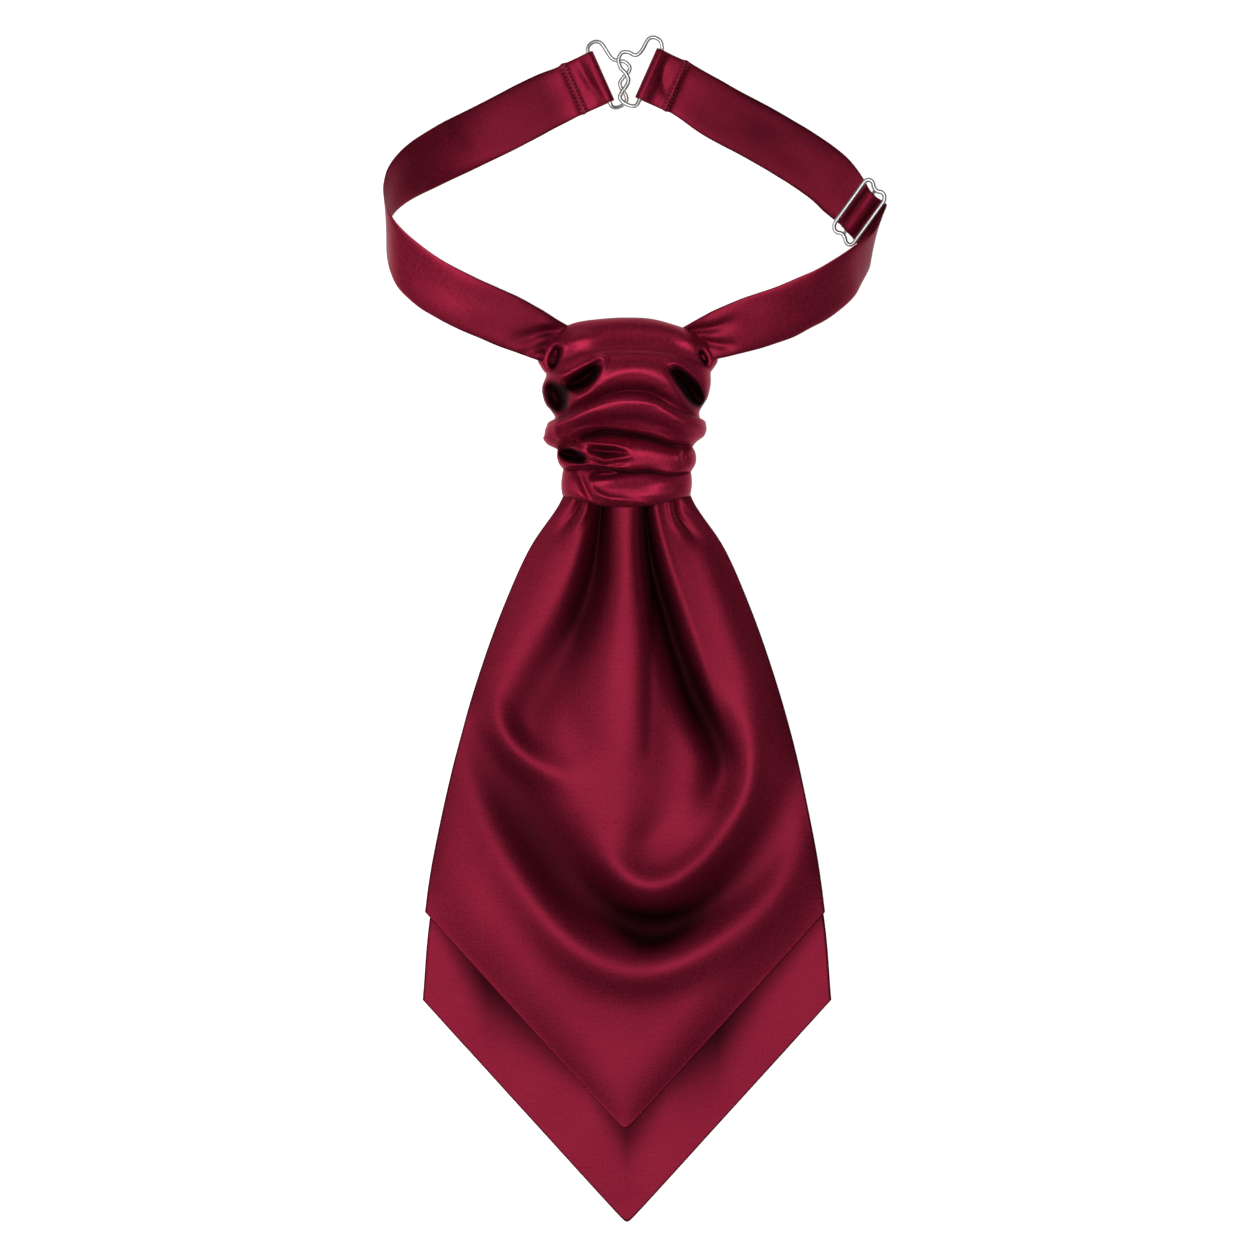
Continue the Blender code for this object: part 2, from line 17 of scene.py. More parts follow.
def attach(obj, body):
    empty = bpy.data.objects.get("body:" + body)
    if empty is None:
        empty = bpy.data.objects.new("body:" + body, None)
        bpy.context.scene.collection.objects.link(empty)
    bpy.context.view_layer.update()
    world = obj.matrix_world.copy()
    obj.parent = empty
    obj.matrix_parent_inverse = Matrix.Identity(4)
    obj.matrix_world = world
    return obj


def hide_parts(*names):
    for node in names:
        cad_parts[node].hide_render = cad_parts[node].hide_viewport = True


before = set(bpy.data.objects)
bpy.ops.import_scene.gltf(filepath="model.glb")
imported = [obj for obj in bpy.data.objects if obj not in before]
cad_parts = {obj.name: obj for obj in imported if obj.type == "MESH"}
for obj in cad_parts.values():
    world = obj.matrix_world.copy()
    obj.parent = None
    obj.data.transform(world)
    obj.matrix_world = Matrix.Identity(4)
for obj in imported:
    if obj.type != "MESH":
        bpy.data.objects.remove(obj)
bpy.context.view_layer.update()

# %% [markdown]
# ## Sizes and the cravat's own axis
# All lengths in the tables are millimetres from the cravat's centre line, which lies a little left of the
# middle of the whole outline. One function turns them into the metres of the scene, so that no finished
# object has to be moved: each keeps its place in its mesh.

# %% Sizes
MM = 0.001
AXIS_X = -3.0
AXIS_Y = -0.2

END_WIDTH = 19.0
BAND_WALL = 1.3
APRON_WALL = 1.4
WIRE_RADIUS = 0.8
BAR_RADIUS = 0.7
HEM_Z = 2.8


def in_scene(x, y, z):
    """Millimetres from the cravat's centre line as metres of the scene."""
    return np.stack([(x + AXIS_X) * MM, (y + AXIS_Y) * MM, z * MM], axis=-1)


# %% [markdown]
# ## Curves through a few rows
# Cloth is drawn here the way a pattern cutter notes it: a short table with one row for each place along
# the piece. A Catmull-Rom curve passes through every row and keeps its slope from one span to the next,
# so a few rows give a smooth surface.

# %% Rows on a smooth curve
STEPS = 8


def smooth_rows(rows, steps=STEPS):
    """The rows with steps rows in each span, on a curve through all of them."""
    rows = np.asarray(rows, float)
    padded = np.vstack([2 * rows[0] - rows[1], rows, 2 * rows[-1] - rows[-2]])
    found = []
    for before, start, end, after in zip(padded, padded[1:], padded[2:], padded[3:]):
        for t in np.arange(steps) / steps:
            bend = (2 * before - 5 * start + 4 * end - after) * t * t
            twist = (3 * start - before - 3 * end + after) * t**3
            found.append(0.5 * (2 * start + (end - before) * t + bend + twist))
    found.append(rows[-1])
    return np.array(found)


def rows_at(rows, place):
    """The rows at places from 0, the first, to 1, the last."""
    index = np.clip(place, 0, 1) * (len(rows) - 1)
    low = np.minimum(index.astype(int), len(rows) - 2)
    part = (index - low)[:, None]
    return rows[low] * (1 - part) + rows[low + 1] * part


def soft_step(x):
    """0 below 0, 1 above 1, and a smooth rise between."""
    x = np.clip(x, 0, 1)
    return x * x * (3 - 2 * x)


# %% [markdown]
# ## Folds drawn as lines
# A fold is a line on the cloth with a height and a reach at each of its points: a ridge has a positive
# height, a trough a negative one. Many small round bumps along the line add up to an even ridge. Each
# bump counts for the piece of line it stands on, so the ridge's height doesn't depend on how closely the
# points lie.

# %% Height of the folds
FAINT = 12.0


def fold_points(folds):
    """Each fold's line as close points: x, y, height, reach and its share of the line."""
    found = []
    for rows in folds.values():
        path = smooth_rows(rows)
        length = np.hypot(np.gradient(path[:, 0]), np.gradient(path[:, 1]))
        found.append(np.column_stack([path, length / (path[:, 3] * math.sqrt(math.pi))]))
    return np.vstack(found)


def fold_height(points, x, y):
    """How far the folds lift or sink the cloth at each place. Past FAINT a bump no longer shows."""
    total = np.zeros_like(x)
    for path_x, path_y, height, reach, share in points:
        away = ((x - path_x) ** 2 + (y - path_y) ** 2) / reach**2
        near = away < FAINT
        total[near] += height * share * np.exp(-away[near])
    return total


def ripple(x, y, size_x, size_y, seed):
    """A soft uneven ripple between about -1 and 1, size_x by size_y millimetres a wave."""
    return np.array([noise.noise((a / size_x, b / size_y, seed)) for a, b in zip(x, y)]) * 2


# %% [markdown]
# ## Cloth from a grid
# Every cloth piece starts as one flat bmesh grid. A place function takes the whole grid at once, as two
# arrays from -1 to 1, and answers with the points in millimetres. The piece's own UV map holds the
# cloth's threads in metres, so that the weave runs with the fabric round every fold. An attribute holds
# the shade painted into the satin's colour, how much light each place loses: what lies between two
# folds is found from the heights, and a piece's own shade adds the rest.

# %% The depth between folds at which the painted shade is full
FULL_SHADE_DEPTH = 3.8


def windowed(height, reach, pick):
    """Each cell's pick of the heights within its reach, along the rows and then along the columns."""
    for axis in (0, 1):
        padded = np.pad(height, [(reach, reach) if a == axis else (0, 0) for a in (0, 1)], mode="edge")
        height = pick(np.lib.stride_tricks.sliding_window_view(padded, 2 * reach + 1, axis=axis), axis=-1)
    return height


def painted_shade(grid, points, cells, reach):
    """Painted shade, 0 to 1: how far each point lies below the folds on both sides within its reach."""
    order = np.lexsort((grid[:, 0], grid[:, 1]))
    height = points[order, 2].reshape(cells[1] + 1, cells[0] + 1)
    filled = windowed(windowed(height, reach, np.max), reach, np.min)
    shade_depth = windowed(filled - height, max(1, reach // 3), np.mean)
    shade_amount = np.empty(len(points))
    shade_amount[order] = soft_step(shade_depth / FULL_SHADE_DEPTH).ravel()
    return shade_amount


# %% Objects from their meshes
def add_object(name, data):
    """A new object with its data, in the scene."""
    made = bpy.data.objects.new(name, data)
    bpy.context.scene.collection.objects.link(made)
    return made


def smooth_piece(name, bm, mesh):
    """A smooth piece with the bmesh's faces in its mesh."""
    bm.to_mesh(mesh)
    bm.free()
    mesh.shade_smooth()
    print(name, len(mesh.polygons), "faces")
    return add_object(name, mesh)


# %% Grid pieces
SAME_POINT = 0.000002


def cloth_grid(name, cells, place, threads, shade_reach, wall=None, tube=False, shade=None):
    """A piece of cloth: cells counts its faces both ways, place gives its points and threads its
    weave's two directions, in millimetres."""
    bm = bmesh.new()
    bmesh.ops.create_grid(bm, x_segments=cells[0], y_segments=cells[1], size=1.0)
    grid = np.round([vert.co[:2] for vert in bm.verts], 6)
    u, v = grid[:, 0], grid[:, 1]
    points = in_scene(*place(u, v))
    weave = threads(u, v)
    shade_depth = painted_shade(grid, points / MM, cells, shade_reach)
    if shade:
        shade_depth = 1 - (1 - shade_depth) * (1 - shade(u, v))
    # Each point keeps the shade painted into its satin colour: from the folds and from the piece's own
    # shade.
    shade_layer = bm.verts.layers.float.new("painted_shade")
    for vert, point, shade_amount in zip(bm.verts, points, shade_depth):
        vert.co = point
        vert[shade_layer] = shade_amount
    uv_layer = bm.loops.layers.uv.new("threads")
    bm.verts.index_update()
    for face in bm.faces:
        for loop in face.loops:
            loop[uv_layer].uv = weave[loop.vert.index] * MM
    if tube:
        bmesh.ops.remove_doubles(bm, verts=bm.verts, dist=SAME_POINT)
        bmesh.ops.holes_fill(bm, edges=[edge for edge in bm.edges if edge.is_boundary], sides=0)
        bmesh.ops.recalc_face_normals(bm, faces=bm.faces)
    piece = smooth_piece(name, bm, bpy.data.meshes.new(name))
    if wall:
        solidify = piece.modifiers.new("wall", "SOLIDIFY")
        solidify.thickness = wall * MM
        solidify.offset = 0.0
        solidify.use_even_offset = True
    return piece


# %% [markdown]
# ## The ruched wrap
# On the real cravat this is a tube of satin drawn round the bands and the tops of the aprons and gathered
# by hand, so it lies in four uneven rolls with tucks between them. Cloth simulation would wrinkle it at
# random. Rings laid down the wrap put each roll where it really is: a ring has its height on the
# front at seven places across, its two ends and its crown, and rings that lie close together make a tuck.

# %% Rings of the wrap
WRAP_RINGS = [
    # y at seven places from left to right, x_left, x_right, crown
    (104.5, 108.0, 109.5, 110.0, 109.5, 107.0, 103.5, -27.5, 26.5, 8.0),
    (103.0, 107.5, 109.0, 109.5, 109.0, 106.5, 103.0, -28.5, 28.0, 12.5),
    (98.5, 104.5, 106.5, 107.0, 106.5, 104.0, 99.0, -30.5, 31.0, 15.4),
    (95.0, 100.5, 102.5, 103.0, 102.5, 100.0, 95.0, -31.5, 32.0, 16.9),
    (92.8, 97.4, 99.4, 99.9, 98.9, 96.9, 92.8, -30.5, 31.0, 18.3),
    (91.2, 95.8, 97.8, 98.2, 97.4, 95.6, 91.4, -29.5, 30.0, 19.1),
    (89.6, 94.2, 96.2, 96.8, 96.2, 94.4, 90.4, -28.5, 29.5, 20.5),
    (85.0, 89.4, 92.8, 94.2, 93.4, 91.0, 86.5, -30.0, 29.5, 21.5),
    (80.0, 85.2, 90.4, 92.6, 92.0, 88.2, 82.0, -29.0, 28.5, 22.4),
    (77.4, 82.2, 88.6, 91.2, 90.6, 85.8, 79.4, -27.0, 27.0, 22.8),
    (76.0, 80.6, 86.9, 89.7, 89.0, 84.2, 77.8, -26.0, 26.0, 22.7),
    (75.2, 79.4, 85.2, 88.0, 87.2, 82.2, 76.6, -25.5, 25.5, 22.0),
    (74.4, 78.1, 83.2, 85.8, 84.9, 79.7, 75.3, -25.5, 25.5, 21.0),
    (73.5, 76.8, 81.4, 83.5, 82.5, 77.1, 74.0, -26.0, 26.0, 19.8),
    (73.4, 76.8, 81.3, 83.4, 82.4, 77.0, 73.9, -27.0, 26.8, 20.7),
    (72.7, 76.0, 80.4, 82.3, 81.3, 76.1, 73.2, -28.0, 27.6, 21.8),
    (71.6, 75.0, 78.9, 80.6, 79.6, 74.6, 72.0, -28.4, 27.9, 22.4),
    (70.7, 74.0, 77.8, 79.4, 78.5, 73.5, 71.1, -28.8, 28.0, 22.6),
    (69.6, 72.8, 76.3, 77.8, 77.0, 72.3, 70.1, -29.0, 28.0, 22.1),
    (68.4, 71.6, 74.6, 75.8, 75.0, 70.9, 69.0, -29.2, 27.6, 20.8),
    (67.1, 70.4, 73.0, 73.8, 72.8, 69.4, 68.0, -29.5, 27.0, 19.2),
    (65.2, 68.4, 71.2, 71.0, 69.4, 66.8, 66.3, -28.0, 24.7, 17.2),
    (64.0, 67.2, 70.2, 69.6, 68.0, 65.5, 65.0, -25.5, 23.5, 14.6),
    (63.5, 66.3, 69.1, 68.5, 67.1, 64.5, 64.2, -24.6, 23.2, 13.6),
    (62.7, 65.0, 66.8, 66.3, 65.3, 63.2, 62.7, -24.6, 24.0, 17.2),
    (60.9, 62.2, 63.2, 63.0, 62.4, 61.1, 60.6, -24.7, 24.4, 19.0),
    (58.6, 58.8, 59.3, 59.1, 59.1, 58.3, 58.3, -24.1, 24.1, 18.6),
    (57.0, 57.6, 57.4, 56.3, 56.4, 55.2, 56.0, -22.9, 22.8, 17.2),
    (56.3, 56.9, 56.6, 55.5, 55.6, 54.6, 55.4, -22.5, 22.5, 14.4),
    (55.0, 55.7, 55.4, 54.2, 54.4, 53.5, 54.5, -22.8, 22.7, 16.8),
    (51.5, 51.5, 50.6, 50.1, 50.3, 50.6, 51.5, -23.2, 22.9, 18.4),
    (48.3, 47.2, 46.4, 46.0, 46.4, 47.2, 48.3, -23.0, 22.5, 18.7),
    (47.0, 45.1, 43.4, 43.0, 43.5, 45.1, 47.0, -22.5, 22.1, 16.0),
    (47.5, 45.7, 43.9, 43.5, 44.0, 45.7, 47.5, -22.1, 21.6, 12.0),
]
WRAP_SIDE_Z = 8.5

# %% Tucks and crumples of the wrap
WRAP_FOLDS = {
    "top_swell_left": [
        # x, y, height, reach
        (-21.0, 100.2, 1.2, 2.2),
        (-17.0, 101.8, 1.9, 2.6),
        (-11.0, 103.0, 1.0, 2.6),
    ],
    "top_swell_right": [
        (18.0, 102.2, 0.8, 2.2),
        (22.6, 100.6, 1.7, 2.2),
        (25.0, 98.6, 1.0, 1.8),
    ],
    "left_end_pocket": [
        (-24.2, 98.8, -3.4, 1.3),
        (-25.4, 95.6, -6.4, 1.9),
        (-26.4, 92.2, -5.0, 1.6),
    ],
    "left_end_rim": [
        (-26.6, 99.9, 0.6, 0.9),
        (-24.0, 100.9, 1.0, 0.9),
        (-22.4, 99.4, 1.1, 0.9),
        (-22.9, 96.4, 0.9, 0.9),
        (-24.4, 93.0, 0.5, 1.0),
    ],
    "upper_left_pocket": [
        (-22.0, 84.6, -3.0, 2.4),
        (-17.6, 86.4, -5.6, 3.2),
        (-13.6, 88.6, -7.0, 3.0),
        (-11.0, 91.4, -5.0, 2.0),
    ],
    "upper_left_rim": [
        (-29.1, 86.1, 0.6, 1.2),
        (-25.7, 88.2, 1.0, 1.1),
        (-21.6, 89.2, 1.1, 1.1),
        (-15.9, 91.9, 1.1, 1.0),
        (-9.8, 95.1, 1.3, 0.9),
    ],
    "pocket_fold": [
        (-11.5, 95.6, 1.0, 1.0),
        (-8.5, 95.2, 1.6, 1.0),
        (-7.9, 92.9, 1.7, 1.0),
        (-9.3, 89.4, 1.4, 1.1),
        (-12.3, 85.8, 0.8, 1.3),
    ],
    "lower_left_pocket": [
        (-27.2, 85.8, -5.0, 2.4),
        (-25.4, 82.3, -9.5, 3.8),
        (-23.2, 78.0, -8.5, 3.0),
    ],
    "pocket_tongue": [
        (-23.4, 86.1, 1.0, 1.2),
        (-20.6, 84.3, 2.2, 1.4),
        (-18.5, 82.8, 1.6, 1.3),
    ],
    "right_pocket": [
        (15.6, 91.4, -3.0, 1.5),
        (19.2, 88.2, -6.5, 2.4),
        (22.8, 84.0, -9.5, 3.2),
        (25.6, 79.6, -8.0, 2.6),
    ],
    "right_rim": [
        (14.9, 91.9, 1.0, 1.0),
        (16.5, 93.1, 1.2, 1.0),
        (19.1, 92.3, 1.2, 1.0),
        (22.4, 89.5, 1.2, 1.1),
        (25.2, 85.9, 1.2, 1.1),
        (26.8, 81.8, 0.8, 1.2),
    ],
    "right_end_pocket": [
        (25.7, 98.0, -3.0, 1.0),
        (26.7, 95.7, -5.0, 1.3),
        (27.8, 93.1, -3.6, 1.2),
    ],
    "right_end_rim": [
        (24.8, 98.0, 0.8, 0.8),
        (25.5, 95.1, 0.9, 0.8),
        (27.3, 92.3, 0.6, 0.9),
    ],
    "second_crest": [
        (-24.5, 75.6, 0.2, 2.0),
        (-18.6, 80.4, 0.5, 2.4),
        (-9.5, 87.0, 0.3, 2.8),
        (0.0, 90.2, 0.1, 3.0),
        (9.5, 89.6, 0.1, 3.0),
        (19.0, 84.6, 0.4, 2.6),
        (24.5, 78.4, 0.3, 2.0),
    ],
    "third_valley": [
        (-22.0, 75.4, -0.4, 1.4),
        (-15.0, 79.2, -0.8, 1.6),
        (-7.0, 82.6, -0.6, 1.8),
        (0.0, 83.9, -0.5, 1.8),
        (8.0, 83.2, -0.6, 1.8),
        (15.0, 79.8, -0.8, 1.6),
        (22.0, 75.8, -0.5, 1.4),
    ],
    "third_crest": [
        (-25.6, 71.2, 0.2, 2.2),
        (-18.6, 74.6, 0.3, 2.2),
        (-9.5, 78.2, 0.1, 2.4),
        (0.0, 79.6, 0.1, 2.4),
        (9.5, 78.8, 0.1, 2.4),
        (19.0, 73.8, 0.3, 2.2),
        (26.0, 70.8, 0.2, 2.2),
    ],
    "left_lobe_rim": [
        (-24.4, 73.0, 0.7, 1.2),
        (-25.2, 69.9, 0.8, 1.2),
        (-24.1, 67.3, 0.7, 1.1),
        (-21.6, 66.8, 0.5, 1.0),
    ],
    "third_lip": [
        (-20.6, 67.6, 0.2, 0.6),
        (-17.0, 69.9, 0.4, 0.6),
        (-10.8, 71.1, 0.4, 0.6),
        (-4.1, 70.7, 0.4, 0.6),
        (3.1, 69.6, 0.4, 0.6),
        (9.8, 68.5, 0.4, 0.6),
        (16.0, 66.2, 0.4, 0.6),
        (20.1, 64.3, 0.3, 0.6),
    ],
    "fourth_pocket": [
        (-23.6, 62.4, -5.0, 1.5),
        (-21.1, 61.7, -8.5, 2.3),
        (-17.8, 60.6, -7.5, 2.1),
        (-14.4, 59.5, -3.6, 1.3),
    ],
    "pocket_pleat": [
        (-18.8, 64.2, 0.8, 0.9),
        (-16.5, 62.2, 1.7, 0.9),
        (-14.9, 59.6, 1.4, 0.8),
    ],
    "fourth_fold": [
        (-20.1, 66.9, 0.5, 0.8),
        (-17.0, 66.3, 1.1, 0.9),
        (-9.3, 64.9, 1.3, 0.9),
        (-4.6, 64.3, 1.2, 1.0),
        (-1.0, 62.9, 0.9, 1.2),
        (0.6, 60.9, 0.4, 1.4),
    ],
    "fourth_trough": [
        (-13.1, 63.2, -2.6, 1.3),
        (-8.7, 62.6, -4.4, 1.5),
        (-4.1, 62.4, -4.0, 1.4),
        (-0.5, 61.9, -2.0, 1.1),
    ],
    "crumple": [
        (-12.9, 61.6, 1.2, 0.7),
        (-10.8, 60.5, 1.6, 0.7),
        (-7.7, 59.1, 1.7, 0.7),
        (-4.1, 59.7, 1.4, 0.7),
        (0.5, 60.7, 0.7, 0.9),
    ],
    "crumple_trough": [
        (-12.9, 59.3, -1.2, 0.9),
        (-8.7, 58.0, -1.6, 0.9),
        (-4.1, 58.2, -1.6, 0.9),
        (-0.5, 58.8, -0.9, 1.0),
    ],
    "right_tuck": [
        (20.7, 64.0, -0.5, 0.8),
        (19.7, 61.9, -0.9, 1.0),
        (20.1, 59.9, -0.7, 1.0),
        (21.6, 58.6, -0.3, 1.0),
    ],
    "right_tuck_rim": [
        (19.1, 63.7, 0.3, 1.0),
        (18.1, 61.4, 0.5, 1.2),
        (19.1, 58.6, 0.3, 1.2),
    ],
    "base_hollow": [
        (-11.8, 54.2, -2.4, 0.9),
        (-8.7, 54.4, -4.2, 1.2),
        (-5.1, 54.6, -3.0, 1.0),
        (-2.0, 55.0, -1.2, 0.8),
    ],
    "base_hollow_rim": [
        (-10.8, 56.1, 0.6, 0.8),
        (-13.4, 55.2, 0.9, 0.8),
        (-14.1, 53.2, 1.0, 0.9),
        (-12.9, 51.6, 0.8, 1.0),
        (-9.8, 52.1, 0.8, 0.8),
        (-5.6, 53.2, 0.7, 0.8),
    ],
    "base_trough": [
        (-18.5, 56.5, -1.0, 1.2),
        (-16.5, 53.9, -1.8, 1.5),
        (-14.9, 50.3, -2.2, 1.6),
        (-12.9, 46.7, -2.0, 1.5),
        (-9.8, 44.4, -1.0, 1.2),
    ],
    "base_ridge": [
        (-13.4, 51.9, 0.6, 1.0),
        (-12.3, 49.3, 1.2, 1.0),
        (-9.5, 47.0, 1.4, 1.1),
        (-5.6, 45.7, 1.3, 1.1),
        (-0.5, 45.2, 1.1, 1.1),
        (8.3, 43.9, 0.6, 1.0),
    ],
    "base_swell": [
        (8.8, 51.0, 0.8, 3.0),
        (13.9, 52.6, 1.6, 3.2),
        (19.1, 53.8, 1.0, 3.0),
    ],
}

# %% The wrap's skin
PLACES_ACROSS = 7
WRAP_PATH = smooth_rows(WRAP_RINGS)
WRAP_FRONT = smooth_rows(WRAP_PATH[:, :PLACES_ACROSS].T).T
WRAP_POINTS = fold_points(WRAP_FOLDS)
RING_SQUARENESS = 0.8
CROWN_FLATNESS = 0.75
FOLD_FADE = 0.5
UNDERSIDE_DROP = 1.15
UNDERSIDE_CURVE = 0.3
UNDERSIDE_TUCK = 3
PULL_HEIGHT = 0.08
PULL_LENGTH = 16
PULL_WIDTH = 2.4
PULL_SEED = 3.7
THREADS_ROUND = 78
THREADS_DOWN = 40


def wrap_place(u, v):
    """Points of the wrap: u runs round a ring, v from the lowest ring to the highest."""
    down = (1 - v) / 2
    x_left, x_right, crown = rows_at(WRAP_PATH, down)[:, PLACES_ACROSS:].T
    angle = math.pi * (1 + u)
    side, up = np.cos(angle), np.sin(angle)
    across = np.sign(side) * np.abs(side) ** RING_SQUARENESS
    x = (x_left + x_right) / 2 + (x_right - x_left) / 2 * across
    fronts = rows_at(WRAP_FRONT, down)
    column = (across + 1) / 2 * (fronts.shape[1] - 1)
    low = np.minimum(column.astype(int), fronts.shape[1] - 2)
    row = np.arange(len(u))
    part = column - low
    before, start, end, after = (
        fronts[row, np.clip(low + step, 0, fronts.shape[1] - 1)] for step in (-1, 0, 1, 2)
    )
    bend = (2 * before - 5 * start + 4 * end - after) * part + 3 * (start - end) * part**2
    bend += (after - before) * part**2
    y_front = start + 0.5 * part * (end - before + bend)
    above = np.clip(up, 0, 1)
    below = np.clip(-up, 0, 1)
    z = WRAP_SIDE_Z + (crown - WRAP_SIDE_Z) * above**CROWN_FLATNESS
    z += fold_height(WRAP_POINTS, x, y_front) * above**FOLD_FADE
    z += PULL_HEIGHT * ripple(x, y_front, PULL_LENGTH, PULL_WIDTH, PULL_SEED) * above
    z_below = np.maximum(0, WRAP_SIDE_Z * (1 - UNDERSIDE_DROP * below**UNDERSIDE_CURVE))
    y_back = fronts[:, 0] + (fronts[:, -1] - fronts[:, 0]) * (across + 1) / 2
    y = np.where(up >= 0, y_front, y_front + (y_back - y_front) * np.minimum(1, UNDERSIDE_TUCK * below))
    return x, y, np.where(up >= 0, z, z_below)


def wrap_threads(u, v):
    """The wrap's threads: round the rings and down the wrap."""
    return np.stack([u * THREADS_ROUND, v * THREADS_DOWN], axis=-1)


# %% [markdown]
# ## Where light hardly reaches
# A pocket of a real ruched wrap is nearly black inside, and a roll keeps the light from the face below
# it. A renderer finds only part of that between thin shells, so the script marks these places with the
# same kind of lines as the folds. The satin's colour then darkens there.

# %% The wrap's pockets and shaded faces
POCKETS = (
    "left_end_pocket",
    "upper_left_pocket",
    "lower_left_pocket",
    "right_pocket",
    "right_end_pocket",
    "fourth_pocket",
)
POCKET_POINTS = fold_points({name: WRAP_FOLDS[name] for name in POCKETS})
POCKET_DARK = 4.4
MOST_SHADE = 0.9
SHADED_FROM = 6
ROLL_SHADE = {
    # x, y, how dark, reach
    "below_second_crest": [
        (-23.5, 74.6, 0.30, 1.7),
        (-18.6, 77.9, 0.44, 2.2),
        (-9.5, 82.5, 0.52, 2.5),
        (0.0, 84.8, 0.56, 2.7),
        (9.5, 83.8, 0.56, 2.7),
        (18.6, 78.9, 0.48, 2.3),
        (24.0, 75.2, 0.36, 1.9),
    ],
    "below_third_crest": [
        (-18.0, 71.6, 0.20, 1.8),
        (-8.0, 74.2, 0.34, 2.2),
        (2.0, 74.8, 0.40, 2.4),
        (11.0, 72.4, 0.34, 2.2),
        (19.0, 68.6, 0.20, 1.8),
    ],
}
ROLL_POINTS = fold_points(ROLL_SHADE)


def kept_from_light(u, v):
    """How much light each place loses in the pockets and under the rolls of the upper side."""
    x, y, z = wrap_place(u, v)
    pocket = soft_step(-fold_height(POCKET_POINTS, x, y) / POCKET_DARK)
    roll = np.clip(fold_height(ROLL_POINTS, x, y), 0, MOST_SHADE)
    return (1 - (1 - pocket) * (1 - roll)) * soft_step(z / SHADED_FROM)


# %% The wrap's piece
wrap = cloth_grid(
    "wrap_cloth",
    (220, 224),
    wrap_place,
    wrap_threads,
    shade_reach=9,
    tube=True,
    shade=kept_from_light,
)

# %% [markdown]
# ## The front apron
# The apron is one panel, gathered at the wrap and pointed at its hem. The gathers leave a round pleat in
# the middle, two deep valleys beside it, and two swags that hang in a U between the side edges. Each fold
# is a line in the table below. The broad ones carry the drape and the narrow ones give the pleat its
# crisp sides. The hem and side edges are pressed, so all folds fade out before them.

# %% Outline of the front apron
FRONT_ROWS = [
    # y, half_width, shift, edge_z, crown_z
    (52.0, 20.5, 0.0, 7.2, 12.5),
    (43.4, 24.1, 0.0, 7.0, 12.6),
    (28.2, 34.4, 0.0, 6.4, 12.4),
    (6.9, 43.8, -0.1, 5.6, 12.0),
    (-14.3, 51.4, -0.2, 5.0, 11.4),
    (-35.6, 57.8, -0.3, 4.5, 10.8),
    (-56.8, 63.0, -0.4, 4.0, 10.2),
    (-78.0, 67.3, -0.6, 3.4, 9.6),
    (-90.0, 69.3, -0.7, 3.0, 9.2),
    (-99.8, 70.6, -0.7, 2.8, 8.8),
]
FRONT_TIP_Y = -176.2

